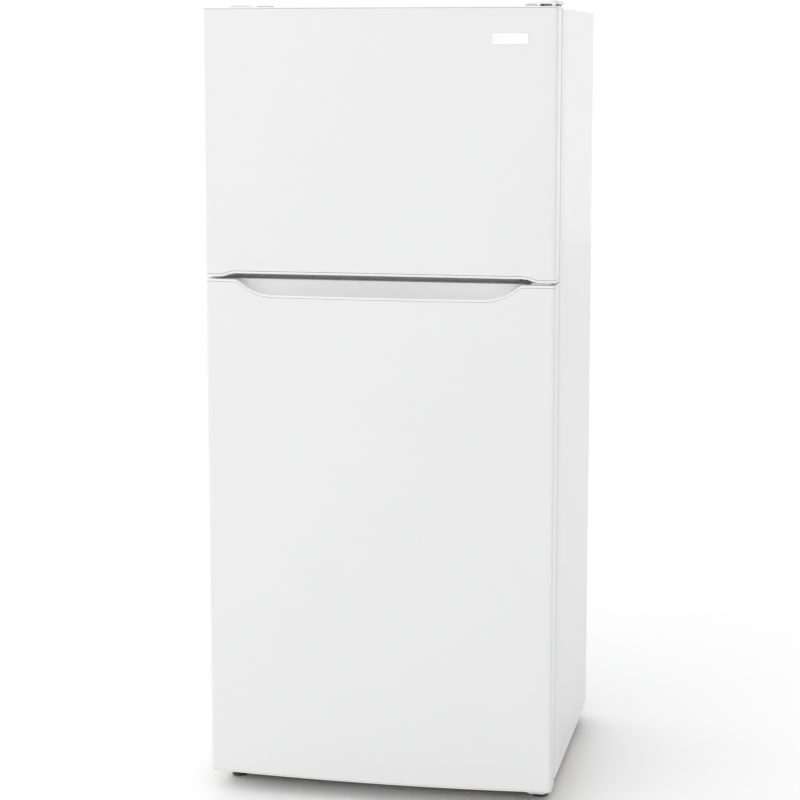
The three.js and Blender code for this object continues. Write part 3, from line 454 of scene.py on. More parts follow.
def rounded_box(name, low, high, radius, material, segments=3):
    """A box with all of its edges rounded."""
    bm = bmesh.new()
    bmesh.ops.create_cube(bm, size=1)
    low, high = Vector(low), Vector(high)
    size = high - low
    bmesh.ops.scale(bm, vec=size, verts=bm.verts)
    bmesh.ops.translate(bm, vec=(low + high) / 2, verts=bm.verts)
    bmesh.ops.bevel(bm, geom=bm.edges[:], offset=radius, segments=segments, affect="EDGES", profile=0.5)
    mesh = bpy.data.meshes.new(name)
    bm.to_mesh(mesh)
    bm.free()
    return new_object(name, mesh, material)


AXES = {
    "x": Matrix(((0, 0, 1), (1, 0, 0), (0, 1, 0))).to_4x4(),
    "y": Matrix(((0, 1, 0), (0, 0, 1), (1, 0, 0))).to_4x4(),
    "z": Matrix.Identity(4),
}


def turned(name, profile, centre, axis, material, sides=48):
    """A body turned about an axis through centre: profile is (radius, height along the axis)."""
    rings = []
    for i in range(sides):
        angle = 2 * math.pi * i / sides
        rings.append([(r * math.cos(angle), r * math.sin(angle), h) for r, h in profile])
    piece = loft(name, rings, material, closed_path=True)
    piece.data.transform(Matrix.Translation(centre) @ AXES[axis])
    return piece


def finish_piece(piece, body, replaces=()):
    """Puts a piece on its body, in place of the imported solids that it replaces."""
    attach(piece, body)
    if replaces:
        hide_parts(*replaces)
    return piece


def dress(node, material, edge=0.0008, segments=2):
    """A CAD node kept as it is: its material, and its sharp edges eased."""
    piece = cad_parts[node]
    piece.data.materials.clear()
    piece.data.materials.append(material)
    weld = piece.modifiers.new("weld", "WELD")
    weld.merge_threshold = 1e-5
    if edge:
        bevelled(piece, edge, segments, 30)
    piece.data.polygons.foreach_set("use_smooth", [True] * len(piece.data.polygons))
    normals = piece.modifiers.new("normals", "WEIGHTED_NORMAL")
    normals.keep_sharp = True


# ------------------------------------------------------------------ the plan of a door


def bow(x):
    """Y of the bowed face at x."""
    return DOOR_CORNER - DOOR_BULGE * (1 - (x / HALF) ** 2)


EDGE_SLOPE = math.atan(2 * DOOR_BULGE / HALF)
TANGENT = HALF - DOOR_EDGE_RADIUS * (1 - math.sin(EDGE_SLOPE))
EDGE_CENTRE = Vector((HALF - DOOR_EDGE_RADIUS, bow(TANGENT) + DOOR_EDGE_RADIUS * math.cos(EDGE_SLOPE)))


def front_y(x):
    """Y of the door's front at x, with its rounded vertical edges."""
    x = abs(x)
    if x <= TANGENT:
        return bow(x)
    across = min((x - EDGE_CENTRE.x) / DOOR_EDGE_RADIUS, 1)
    return EDGE_CENTRE.y - DOOR_EDGE_RADIUS * math.sqrt(1 - across**2)


def back_y(x):
    """Y of the door's back at x, with its chamfered vertical edges."""
    return DOOR_BACK - max(0, abs(x) - (HALF - BACK_CHAMFER))


def span(start, end, count):
    """Evenly spaced values from start up to end, leaving end out."""
    return [start + (end - start) * i / count for i in range(count)]


def door_xs():
    """Places across a door, closer together on the scoop's shoulders and round the vertical edges."""
    right = span(0, SCOOP_FLAT, 24) + span(SCOOP_FLAT, SCOOP_HALF, 26) + span(SCOOP_HALF, TANGENT, 12)
    steps = 7
    reach = HALF - EDGE_CENTRE.x
    start = math.asin((TANGENT - EDGE_CENTRE.x) / reach)
    for i in range(steps + 1):
        angle = start + (math.pi / 2 - start) * i / steps
        right.append(EDGE_CENTRE.x + reach * math.sin(angle))
    return [-x for x in reversed(right[1:])] + right


DOOR_XS = door_xs()


def bezier(a, b, c, d, t):
    """A point on a cubic curve."""
    return a * (1 - t) ** 3 + 3 * b * t * (1 - t) ** 2 + 3 * c * t**2 * (1 - t) + d * t**3


def on_bezier(x, across, along):
    """The height of a cubic whose x falls or rises steadily with t, at x."""
    low, high = 0.0, 1.0
    rising = across[3] > across[0]
    for _ in range(40):
        t = (low + high) / 2
        if (bezier(*across, t) < x) == rising:
            low = t
        else:
            high = t
    return bezier(*along, (low + high) / 2)


def scoop_sink(x):
    """How far the pocket handle's edge lies below the fridge door's top."""
    x = abs(x)
    if x >= SCOOP_HALF:
        return 0.0
    if x <= SCOOP_FLAT:
        return SCOOP_DEPTH
    across = (SCOOP_HALF, SCOOP_HALF - 0.011, SCOOP_HALF - 0.030, SCOOP_FLAT)
    return on_bezier(x, across, (0, 0.003, SCOOP_DEPTH, SCOOP_DEPTH))


def arch_rise(x):
    """How far the freezer door's lower edge is raised above its ends."""
    x = abs(x)
    if x >= ARCH_HALF:
        return 0.0
    if x <= ARCH_SHOULDER:
        return ARCH_RISE - (ARCH_RISE - ARCH_SHOULDER_RISE) * (x / ARCH_SHOULDER) ** 2
    across = (ARCH_HALF, ARCH_HALF - 0.011, ARCH_SHOULDER + 0.017, ARCH_SHOULDER)
    return on_bezier(x, across, (0, 0, ARCH_SHOULDER_RISE - 0.0015, ARCH_SHOULDER_RISE))


def plan_path():
    """The door's outline from its right rear corner round the front to its left rear corner."""
    right_side = [(HALF - BACK_CHAMFER - 0.010, DOOR_BACK), (HALF - BACK_CHAMFER, DOOR_BACK)]
    right_side += [(HALF, DOOR_BACK - BACK_CHAMFER), (HALF, (DOOR_BACK + EDGE_CENTRE.y) / 2)]
    front = [(x, front_y(x)) for x in reversed(DOOR_XS)]
    left_side = [(-x, y) for x, y in reversed(right_side)]
    return right_side + front + left_side


def door_sheet(name, body, node, bottom, top):
    """The painted sheet of a door: its front and sides, between two edge curves."""
    path = plan_path()
    rows = 30
    points = []
    for x, y in path:
        low, high = bottom(x), top(x)
        for j in range(rows + 1):
            share = j / rows
            ease = share * share * (3 - 2 * share)
            points.append((x, y, low + (high - low) * ease))
    faces = []
    for i in range(len(path) - 1):
        for j in range(rows):
            a = i * (rows + 1) + j
            faces.append((a, a + 1, a + rows + 2, a + rows + 1))
    mesh = bpy.data.meshes.new(name)
    mesh.from_pydata(points, [], faces)
    bm = bmesh.new()
    bm.from_mesh(mesh)
    bmesh.ops.recalc_face_normals(bm, faces=bm.faces)
    middle = max(bm.faces, key=lambda face: -face.calc_center_median().y)
    if middle.normal.y > 0:
        bmesh.ops.reverse_faces(bm, faces=bm.faces)
    bm.to_mesh(mesh)
    bm.free()
    sheet = new_object(name, mesh, PAINT)
    solidify = sheet.modifiers.new("thickness", "SOLIDIFY")
    solidify.thickness = 0.0012
    solidify.offset = -1
    bevelled(sheet, 0.0004, 2, 60)
    apply_modifiers(sheet)
    smooth(sheet, 40)
    return finish_piece(sheet, body, [node])


def cap_ring(x, level, sink, sign, rim, lip):
    """A closed section of an end cap at x, from the tucked-in foot of its rim over the lip to its back."""
    front, back = front_y(x), back_y(x)
    tuck = 0.0012
    rear = max(SCOOP_REAR, front + lip) if sink else front + lip
    edge = level - sign * sink
    quarter = [math.pi / 2 * i / 10 for i in range(11)]
    ring = [(front + tuck, edge - sign * rim), (front, edge - sign * (rim - tuck * 0.5))]
    ring += [(front + lip * (1 - math.cos(a)), edge - sign * lip * (1 - math.sin(a))) for a in quarter]
    run = rear - front - lip
    ring += [(front + lip + run * math.sin(a), edge + sign * sink * 0.97 * (1 - math.cos(a)))
             for a in quarter]
    ring += [(rear, level), (back, level), (back, level - sign * rim)]
    return [(x, y, z) for y, z in ring]


def door_cap(name, body, node, level, sink, sign, rim=CAP_RIM, lip=0.003):
    """The moulded cap on the top or bottom end of a door."""
    rings = [cap_ring(x, level(x), sink(x), sign, rim, lip) for x in DOOR_XS]
    cap = loft(name, rings, PLASTIC)
    bevelled(cap, 0.0012, 3, 50)
    apply_modifiers(cap)
    smooth(cap, 40)
    return finish_piece(cap, body, [node])


def none(x):
    """No sink and no rise at any x."""
    return 0.0


def build_doors():
    """Both doors' painted sheets and moulded caps."""
    line = CAP_RIM + PARTING
    fine_line = CAP_RIM + PARTING * 0.5
    door_sheet(
        "fridge_door_sheet", "fridge_door", "fridge_door_skin",
        lambda x: FRIDGE_BOTTOM + 0.0033 + SEAM,
        lambda x: FRIDGE_TOP - scoop_sink(x) - fine_line,
    )
    door_sheet(
        "freezer_door_sheet", "freezer_door", "freezer_door_skin",
        lambda x: FREEZER_BOTTOM + arch_rise(x) + line,
        lambda x: FREEZER_TOP - 0.0033 - SEAM,
    )
    door_cap("fridge_door_handle", "fridge_door", "fridge_door_handle_cap",
             lambda x: FRIDGE_TOP, scoop_sink, 1)
    door_cap("fridge_door_foot_cap", "fridge_door", "fridge_door_bottom_cap",
             lambda x: FRIDGE_BOTTOM, none, -1, 0.0033, 0.0015)
    door_cap("freezer_door_head_cap", "freezer_door", "freezer_door_top_cap",
             lambda x: FREEZER_TOP, none, 1, 0.0033, 0.0015)
    door_cap("freezer_door_grip_cap", "freezer_door", "freezer_door_bottom_cap",
             lambda x: FREEZER_BOTTOM + arch_rise(x), none, -1)


# ------------------------------------------------------------------ more mesh helpers


def rounded_rect(x0, x1, z0, z1, radius, steps=6):
    """Points of a rounded rectangle, anticlockwise, the same number whatever its size."""
    points = []
    centres = [(x1 - radius, z1 - radius), (x0 + radius, z1 - radius),
               (x0 + radius, z0 + radius), (x1 - radius, z0 + radius)]
    for turn, (cx, cz) in enumerate(centres):
        for i in range(steps + 1):
            angle = math.pi / 2 * (turn + i / steps)
            points.append((cx + radius * math.cos(angle), cz + radius * math.sin(angle)))
    return points


def rect_ring(bounds, radius, grow, depth, axis="y", steps=6):
    """A rounded rectangle grown by grow, laid across an axis at depth."""
    x0, x1, z0, z1 = bounds
    outline = rounded_rect(x0 - grow, x1 + grow, z0 - grow, z1 + grow, max(radius + grow, 0.0004), steps)
    if axis == "y":
        return [(x, depth, z) for x, z in outline]
    return [(x, y, depth) for x, y in outline]


def tub(name, low, high, material, wall=0.0025, radius=0.012, rim=0.0, draft=0.0):
    """A moulded tray, open above: rounded floor, drafted walls and a rolled rim."""
    bounds = (low[0], high[0], low[1], high[1])
    floor, top = low[2], high[2]
    soft = min(radius * 0.6, 0.008)
    rings = []
    for i in range(5):
        angle = math.pi / 2 * i / 4
        rings.append((-draft - soft * (1 - math.sin(angle)), floor + soft * (1 - math.cos(angle))))
    rings += [(-rim, top - 0.007 if rim else top - 0.002), (0.0, top - 0.006 if rim else top - 0.001)]
    rings += [(0.0, top - 0.001), (-0.0006, top), (-rim - wall + 0.0006, top), (-rim - wall, top - 0.001)]
    for i in range(5):
        angle = math.pi / 2 * (1 - i / 4)
        inset = -draft - wall - (soft - wall) * (1 - math.sin(angle))
        rings.append((inset, floor + wall + (soft - wall) * (1 - math.cos(angle))))
    laid = [rect_ring(bounds, radius, grow, depth, "z") for grow, depth in rings]
    piece = loft(name, laid, material)
    smooth(piece, 40)
    return piece


def tube(name, route, radius, material, fillet=0.0, sides=4, turns=6):
    """A round bar or pipe along a route, its corners turned by fillet."""
    path = [Vector(point) for point in route]
    places = [path[0]]
    for before, corner, after in zip(path, path[1:], path[2:]):
        into, out = (before - corner).normalized(), (after - corner).normalized()
        reach = min(fillet, (before - corner).length / 2.02, (after - corner).length / 2.02)
        for i in range(turns + 1):
            t = i / turns
            start, end = corner + into * reach, corner + out * reach
            places.append(start * (1 - t) ** 2 + corner * 2 * t * (1 - t) + end * t**2)
    places.append(path[-1])
    curve = bpy.data.curves.new(name, "CURVE")
    curve.dimensions = "3D"
    curve.bevel_depth = radius
    curve.bevel_resolution = sides
    curve.use_fill_caps = True
    spline = curve.splines.new("POLY")
    spline.points.add(len(places) - 1)
    for point, place in zip(spline.points, places):
        point.co = (*place, 1)
    line = bpy.data.objects.new(name + "_line", curve)
    bpy.context.collection.objects.link(line)
    bpy.context.view_layer.update()
    mesh = bpy.data.meshes.new_from_object(line.evaluated_get(bpy.context.evaluated_depsgraph_get()))
    mesh.materials.clear()
    bpy.data.objects.remove(line)
    piece = new_object(name, mesh, material)
    smooth(piece, 50)
    return piece


def bar(name, low, high, material, radius=0.0008, segments=2):
    """A small moulded or folded block with eased edges."""
    limit = min(high[i] - low[i] for i in range(3)) * 0.45
    return rounded_box(name, low, high, min(radius, limit), material, segments)


def extruded(name, outline, axis, start, end, material, edge=0.0008):
    """A prism with eased edges. The outline is in X and Y along z, in X and Z along y, in Y and Z along x."""
    place = {
        "x": lambda u, v, depth: (depth, u, v),
        "y": lambda u, v, depth: (u, depth, v),
        "z": lambda u, v, depth: (u, v, depth),
    }[axis]
    rings = [[place(u, v, depth) for u, v in outline] for depth in (start, end)]
    piece = loft(name, rings, material)
    bevelled(piece, edge, 3, 40)
    return piece


def screws(name, body, places, facing, radius=0.004, material=None, sides=24):
    """Pan-head screws, each sitting on a surface at its place and facing along an axis such as -y."""
    sign = -1 if facing[0] == "-" else 1
    height = radius * 0.55
    profile = [(0, 0), (radius, 0), (radius, height * 0.45), (radius * 0.86, height * 0.85),
               (radius * 0.5, height), (radius * 0.36, height), (radius * 0.3, height * 0.4),
               (0, height * 0.4)]
    profile = [(r, sign * h) for r, h in profile]
    heads = [turned(name, profile, Vector(place), facing[-1], material or STEEL, sides) for place in places]
    return finish_piece(joined(name, heads), body)


def group(name, body, pieces, replaces=()):
    """Joins pieces into one and finishes it."""
    return finish_piece(joined(name, pieces), body, replaces)


# ------------------------------------------------------------------ badge, gaskets and door linings


def build_badge():
    """The blank plate at the freezer door's upper right."""
    low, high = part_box("badge")
    half = (high.x - low.x) / 2
    middle = (low.x + high.x) / 2
    thick = 0.0016
    corner = 0.0022
    rings = []
    for inset, depth in ((0, 0), (0, 0.0006), (0.0004, 0.0012), (0.0012, thick), (0.0030, thick),
                         (0.0034, thick - 0.0003)):
        outline = rounded_rect(-half + inset, half - inset, low.z + inset, high.z - inset, corner)
        rings.append([(middle + x, bow(middle + x) - 0.0002 - depth, z) for x, z in outline])
    plate = loft("badge_plate", rings, BADGE_WHITE)
    smooth(plate, 50)
    finish_piece(plate, "freezer_door", ["badge"])


def gasket_profile(back, front):
    """(share of the side lip, outward, y) round a bellows section, from its inner foot outwards."""
    deep = front - back
    return [
        (0, 0.0000, back), (0, 0.0000, back + deep * 0.2), (0, 0.0035, back + deep * 0.32),
        (0, 0.0012, back + deep * 0.52), (0, 0.0035, back + deep * 0.72), (0, 0.0055, front - deep * 0.06),
        (0, 0.0080, front), (0, 0.0180, front), (0, 0.0205, front - deep * 0.06),
        (0, 0.0225, back + deep * 0.74),
        (0, 0.0200, back + deep * 0.58), (0, 0.0235, back + deep * 0.48), (0.7, 0.0250, back + deep * 0.42),
        (1, 0.0256, back + deep * 0.47), (1, 0.0260, back + deep * 0.36), (1, 0.0256, back + deep * 0.24),
        (0.7, 0.0250, back + deep * 0.12), (0, 0.0240, back),
    ]


def build_gasket(name, body, node):
    """One door's seal, all the way round."""
    low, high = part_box(node)
    width, lip = 0.026, 0.020
    bounds = (low.x + lip + width, high.x - lip - width, low.z + width, high.z - width)
    rings = []
    for share, out, depth in gasket_profile(low.y, high.y):
        outline = rounded_rect(bounds[0] - out, bounds[1] + out, bounds[2] - out, bounds[3] + out,
                               0.004 + out)
        stretch = 1 + share * lip / (bounds[1] + out)
        rings.append([(x * stretch, depth, z) for x, z in outline])
    gasket = loft(name, rings, RUBBER, closed_path=True)
    smooth(gasket, 60)
    finish_piece(gasket, body, [node])


DYKE_HALF = 0.318
DYKE_WIDTH = 0.028
DYKE_DROP = 0.012  # from a room's floor to its door's raised ring
DYKE_BELOW = 0.030  # from a room's ceiling to the ring
ROOM = {"fridge": (0.130, 1.100), "freezer": (1.190, 1.668)}
CAVITY_HALF = 0.330


def build_door_liner(door):
    """A vacuum-formed lining: a flat rim under the gasket, a raised ring, and a flat panel inside it."""
    low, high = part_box(door + "_door_liner")
    floor, ceiling = ROOM[door]
    face = low.y + 0.002
    crest = high.y
    outer = (low.x, high.x, low.z, high.z)
    ring = (-DYKE_HALF, DYKE_HALF, floor + DYKE_DROP, ceiling - DYKE_BELOW)
    inner = (ring[0] + DYKE_WIDTH, ring[1] - DYKE_WIDTH, ring[2] + DYKE_WIDTH, ring[3] - DYKE_WIDTH)
    soft = 0.006
    rings = [rect_ring(outer, 0.004, 0, face - 0.0015), rect_ring(outer, 0.004, -0.0008, face)]
    rings += [rect_ring(ring, 0.024, 0.004, face), rect_ring(ring, 0.024, 0.001, face + 0.001),
              rect_ring(ring, 0.024, 0, face + 0.004)]
    for i in range(5):
        angle = math.pi / 2 * i / 4
        rings.append(rect_ring(ring, 0.024, -soft * (1 - math.cos(angle)),
                               crest - soft * (1 - math.sin(angle))))
    for i in range(5):
        angle = math.pi / 2 * (1 - i / 4)
        rings.append(rect_ring(inner, 0.006, soft * (1 - math.cos(angle)),
                               crest - soft * (1 - math.sin(angle))))
    rings += [rect_ring(inner, 0.006, 0, face + 0.004), rect_ring(inner, 0.006, -0.001, face + 0.001),
              rect_ring(inner, 0.006, -0.003, face)]
    points = [point for ring_points in rings for point in ring_points]
    count = len(rings[0])
    faces = [(i * count + j, i * count + (j + 1) % count, (i + 1) * count + (j + 1) % count,
              (i + 1) * count + j)
             for i in range(len(rings) - 1) for j in range(count)]
    faces.append(tuple(range((len(rings) - 1) * count, len(rings) * count)))
    mesh = bpy.data.meshes.new(door + "_lining")
    mesh.from_pydata(points, [], faces)
    bm = bmesh.new()
    bm.from_mesh(mesh)
    bmesh.ops.recalc_face_normals(bm, faces=bm.faces)
    if max(bm.faces, key=lambda face_: face_.calc_area()).normal.y < 0:
        bmesh.ops.reverse_faces(bm, faces=bm.faces)
    bm.to_mesh(mesh)
    bm.free()
    lining = new_object(door + "_door_lining", mesh, LINING)
    shell = lining.modifiers.new("thickness", "SOLIDIFY")
    shell.thickness = 0.0018
    shell.offset = -1
    apply_modifiers(lining)
    smooth(lining, 40)
    finish_piece(lining, door + "_door", [door + "_door_liner"])


def build_bins():
    """Every door bin: a clear tub with a rolled rim and a white snap-on band along its front."""
    for door, levels in (("freezer", ("lower", "upper")), ("fridge", ("lower", "middle", "upper"))):
        for level in levels:
            node = f"{door}_door_bin_{level}"
            low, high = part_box(node)
            bin_tub = tub(node + "_tub", low, high, CLEAR, rim=0.0012, draft=0.002)
            finish_piece(bin_tub, door + "_door", [node])
            grip = 0.0012
            band = bar(node + "_band", (low.x + 0.012, high.y - 0.0035, high.z - 0.028),
                       (high.x - 0.012, high.y + grip, high.z - 0.010), PLASTIC, 0.0022, 3)
            finish_piece(band, door + "_door")
            ribs = []
            for i in range(1, 6):
                x = low.x + (high.x - low.x) * i / 6
                ribs.append(bar("rib", (x - 0.0008, low.y + 0.012, low.z + 0.002),
                                (x + 0.0008, high.y - 0.012, low.z + 0.0036), CLEAR, 0.0006))
            group(node + "_ribs", door + "_door", ribs)


def build_dairy():
    """The butter compartment's shelf supports: five low pads on its floor."""
    low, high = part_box("dairy_box")
    pads = [bar("pad", (x - 0.02, low.y + 0.004, low.z + 0.0026), (x + 0.02, high.y - 0.012, low.z + 0.004),
                CLEAR, 0.0006) for x in (-0.2, -0.1, 0, 0.1, 0.2)]
    group("dairy_box_ribs", "fridge_door", pads)


# ------------------------------------------------------------------ hinges and what shows on the roof


def disc(name, centre, radius, height, material, axis="z", edge=0.0006):
    """A flat round plate with eased rims."""
    profile = [(0, 0), (radius - edge, 0), (radius, edge), (radius, height - edge),
               (radius - edge, height), (0, height)]
    return turned(name, profile, Vector(centre), axis, material)


def stadium(x0, x1, y0, y1, radius):
    """A rounded rectangle with finely stepped corners."""
    return rounded_rect(x0, x1, y0, y1, radius, 8)


def build_centre_hinge():
    """The bracket between the doors, its pin and washers, and the screws beside it."""
    low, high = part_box("centre_hinge")
    middle = (FRIDGE_TOP + FREEZER_BOTTOM) / 2
    thick = 0.004
    z0, z1 = middle - thick / 2, middle + thick / 2
    tab_z = 0.011
    arm = extruded("arm", stadium(HINGE_X - 0.030, HINGE_X + 0.013, HINGE_Y - 0.022, high.y - 0.001, 0.010),
                   "z", z0, z1, PAINT, 0.0008)
    heel = bar("heel", (HINGE_X - 0.030, high.y - 0.013, z0), (HINGE_X + 0.013, high.y, z1), PAINT)
    tab = bar("tab", (HINGE_X - 0.032, high.y - thick, middle - tab_z),
              (HINGE_X + 0.015, high.y, middle + tab_z),
              PAINT, 0.0012)
    webs = [bar("web", (HINGE_X + x, high.y - 0.009, middle - 0.006),
                (HINGE_X + x + 0.003, high.y - 0.002, middle + 0.006),
                PAINT, 0.001) for x in (-0.03, 0.011)]
    group("centre_hinge_bracket", "cabinet", [arm, heel, tab, *webs], ["centre_hinge"])
    pin = turned("centre_hinge_pin",
                 [(0, low.z), (0.0034, low.z), (0.004, low.z + 0.0015), (0.004, high.z - 0.0015),
                  (0.0034, high.z), (0, high.z)],
                 Vector((HINGE_X, HINGE_Y, 0)), "z", STEEL)
    smooth(pin, 30)
    finish_piece(pin, "cabinet")
    thin = 0.0003
    washers = [disc("washer", (HINGE_X, HINGE_Y, z), 0.0075, thin, STEEL, edge=0.0001)
               for z in (z0 - thin, z1)]
    group("centre_hinge_washers", "cabinet", washers)
    screws("centre_hinge_screws", "cabinet",
           [(HINGE_X + x, high.y - thick, middle + z) for x in (-0.024, -0.006) for z in (-0.0062, 0.0062)],
           "-y", 0.0035)
    screws("mullion_screws", "cabinet",
           [(HINGE_X + x, RIM_FRONT, middle + 0.0045) for x in (-0.060, -0.046)], "-y", 0.0046, DARK)


def build_bottom_hinge():
    """The bracket under the fridge door, with its pin, washer and screws."""
    low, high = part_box("bottom_hinge")
    thick = 0.003
    z0, z1 = low.z, low.z + thick
    rear = high.y
    arm = extruded("arm", stadium(HINGE_X - 0.030, HINGE_X + 0.013, HINGE_Y - 0.022, rear - 0.001, 0.010),
                   "z", z0, z1, PAINT, 0.0008)
    heel = bar("heel", (HINGE_X - 0.030, rear - 0.013, z0), (HINGE_X + 0.013, rear, z1), PAINT)
    tab = bar("tab", (HINGE_X - 0.032, rear - thick, z0), (HINGE_X + 0.015, rear, 0.092), PAINT, 0.0012)
    group("bottom_hinge_bracket", "cabinet", [arm, heel, tab], ["bottom_hinge"])
    pin = turned("bottom_hinge_pin",
                 [(0, z0), (0.004, z0), (0.004, high.z - 0.0015), (0.0034, high.z), (0, high.z)],
                 Vector((HINGE_X, HINGE_Y, 0)), "z", STEEL)
    smooth(pin, 30)
    finish_piece(pin, "cabinet")
    washer = disc("bottom_hinge_washer", (HINGE_X, HINGE_Y, z1), 0.0075, 0.0012, STEEL, edge=0.0003)
    smooth(washer)
    finish_piece(washer, "cabinet")
    screws("bottom_hinge_screws", "cabinet",
           [(HINGE_X + x, rear - thick, z) for x in (-0.022, 0.004) for z in (0.062, 0.082)], "-y", 0.0042)


def build_top_hinge():
    """The hinge plate's cover, domed and open in front, a black shim as painted shade in the slot under it,
    screws and the block beside it.
    """
    low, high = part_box("top_hinge_cover")
    bounds = (low.x, high.x, low.y, high.y)
    radius, wall = 0.014, 0.002
    dome = 0.004
    rings = [rect_ring(bounds, radius, 0, low.z, "z", 8)]
    for i in range(7):
        angle = math.pi / 2 * i / 6
        rings.append(rect_ring(bounds, radius, -dome * (1 - math.cos(angle)) * 1.6,
                               high.z - dome * (1 - math.sin(angle)) - 0.0008, "z", 8))
    rings.append(rect_ring(bounds, radius, -0.0125, high.z, "z", 8))
    rings.append(rect_ring(bounds, radius, -0.0134, high.z, "z", 8))
    outer = loft("cover", rings, PLASTIC)
    inside = [rect_ring(bounds, radius, -wall, z, "z", 8) for z in (low.z - 0.001, high.z - 0.006)]
    inside.append(rect_ring(bounds, radius, -wall - 0.003, high.z - 0.0025, "z", 8))
    hollow = loft("hollow", inside, PLASTIC)
    plate_low, plate_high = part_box("top_hinge")
    plate_underside = 1.7259
    notch = bar("notch", (low.x - 0.004, -0.2603, low.z - 0.001),
                (low.x + 0.005, -0.2167, plate_high.z + 0.0003), PLASTIC)
    for tool in (hollow, notch):
        cut = outer.modifiers.new("cut", "BOOLEAN")
        cut.operation = "DIFFERENCE"
        cut.object = tool
        cut.solver = "EXACT"
    apply_modifiers(outer)
    for tool in (hollow, notch):
        bpy.data.objects.remove(tool)
    feet = [bar("foot", (low.x + x0, low.y + 0.0012, FREEZER_TOP + 0.0006),
                (low.x + x1, low.y + 0.0075, low.z + 0.002), PLASTIC, 0.0015, 3)
                for x0, x1 in ((0.003, 0.011), (0.034, 0.0425))]
    outer = joined("top_hinge_hood", [outer, *feet])
    bevelled(outer, 0.0005, 2, 50)
    apply_modifiers(outer)
    smooth(outer, 40)
    finish_piece(outer, "cabinet", ["top_hinge_cover"])
    # Painted shade: a black plastic shim fills the slot under the cover, standing in for the shadow there.
    shadow_shim = bar("top_hinge_shadow_shim", (HINGE_X - 0.020, HINGE_Y + 0.010, FREEZER_TOP + 0.0007),
                  (HINGE_X + 0.0185, -0.262, plate_underside), BLACK, 0.0005)
    finish_piece(shadow_shim, "cabinet")
    screws("top_hinge_screws", "cabinet",
           [(x, y, plate_high.z) for x in (0.308, 0.322) for y in (-0.250, -0.227)], "z", 0.0042)
    foot = bar("top_hinge_block", (plate_low.x + 0.0005, -0.2635, ROOF + 0.0004),
               (low.x - 0.0005, -0.2605, plate_high.z + 0.001),
               LIGHT_GREY, 0.001)
    finish_piece(foot, "cabinet")


def build_left_cap():
    """The low arched cap over the unused hinge holes, and the small plug beside it."""
    low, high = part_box("left_hinge_cap")
    half = (high.x - low.x) / 2
    middle = (high.x + low.x) / 2
    rings = []
    for i in range(25):
        x = -half + 2 * half * i / 24
        rise = (high.z - low.z) * max(1 - (abs(x) / half) ** 2.6, 0.06)
        soft = min(0.004, rise * 0.45)
        outline = rounded_rect(low.y, high.y, low.z - 0.004, low.z + rise, soft, 5)
        rings.append([(middle + x, y, max(z, low.z)) for y, z in outline])
    cap = loft("left_roof_cap", rings, PLASTIC)
    bevelled(cap, 0.0006, 2, 50)
    apply_modifiers(cap)
    smooth(cap, 40)
    finish_piece(cap, "cabinet", ["left_hinge_cap"])
    plug = bar("left_roof_plug", (high.x + 0.001, low.y + 0.004, low.z),
               (high.x + 0.031, high.y - 0.004, low.z + 0.0075),
               LIGHT_GREY, 0.002, 3)
    finish_piece(plug, "cabinet")


# ------------------------------------------------------------------ cabinet


def shell_outline(radius=0.005):
    """Half of the cabinet's outline seen from the front, with outward directions: (x, z, out x, out z)."""
    low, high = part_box("cabinet_wrapper")
    points = [(high.x, low.z + (high.z - radius - low.z) * i / 24, 1, 0) for i in range(24)]
    for i in range(7):
        angle = math.pi / 2 * i / 6
        points.append((high.x - radius + radius * math.cos(angle),
                       high.z - radius + radius * math.sin(angle),
                       math.cos(angle), math.sin(angle)))
    mirrored = [(-x, z, -u, v) for x, z, u, v in reversed(points)]
    return points + mirrored


def build_cabinet_shell():
    """Two sides and a roof of painted sheet, with rounded front folds and a set-in strip along the rear."""
    low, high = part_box("cabinet_wrapper")
    fold = 0.003
    strip = 0.066
    drawn_in = 0.005
    bend = high.y - strip
    stations = [(fold * 1.2, 0, low.y)]
    for i in range(1, 5):
        angle = math.pi / 2 * i / 4
        stations.append((fold * (1 - math.sin(angle)), 0, low.y + fold * (1 - math.cos(angle))))
    stations += [(0, 0, low.y + 0.1), (0, 0, low.y + 0.3), (0, 0, bend - 0.006), (0, 0, bend - 0.001)]
    stations += [(0, drawn_in * (y - bend) / strip, y)
                 for y in (bend + 0.001, bend + 0.006, high.y - 0.006)]
    stations += [(0, drawn_in, high.y - 0.001), (0.001, drawn_in, high.y), (0.0085, drawn_in, high.y)]
    path = shell_outline()
    rings = [[(x - (inset + taper) * u, y, z - inset * v) for x, z, u, v in path]
             for inset, taper, y in stations]
    points = [point for ring in rings for point in ring]
    count = len(path)
    faces = [(i * count + j, (i + 1) * count + j, (i + 1) * count + j + 1, i * count + j + 1)
             for i in range(len(rings) - 1) for j in range(count - 1)]
    mesh = bpy.data.meshes.new("cabinet_shell")
    mesh.from_pydata(points, [], faces)
    bm = bmesh.new()
    bm.from_mesh(mesh)
    bmesh.ops.recalc_face_normals(bm, faces=bm.faces)
    side = max(bm.faces, key=lambda face: face.calc_center_median().x)
    if side.normal.x < 0:
        bmesh.ops.reverse_faces(bm, faces=bm.faces)
    bm.to_mesh(mesh)
    bm.free()
    shell = new_object("shell", mesh, PAINT)
    sheet = shell.modifiers.new("thickness", "SOLIDIFY")
    sheet.thickness = 0.001
    sheet.offset = -1
    opening = (-0.3323, 0.3323, 0.1277, 1.6703)
    outline = (low.x + 0.003, high.x - 0.003, low.z + 0.001, high.z - 0.003)
    rings = [rect_ring(outline, 0.003, 0, low.y), rect_ring(opening, 0.003, 0.0006, low.y),
             rect_ring(opening, 0.003, 0, low.y + 0.0006), rect_ring(opening, 0.003, 0, low.y + 0.0012),
             rect_ring(outline, 0.003, 0, low.y + 0.0012)]
    flange = loft("flange", rings, PAINT, closed_path=True)
    whole = joined("cabinet_shell", [shell, flange])
    finish_piece(whole, "cabinet", ["cabinet_wrapper"])


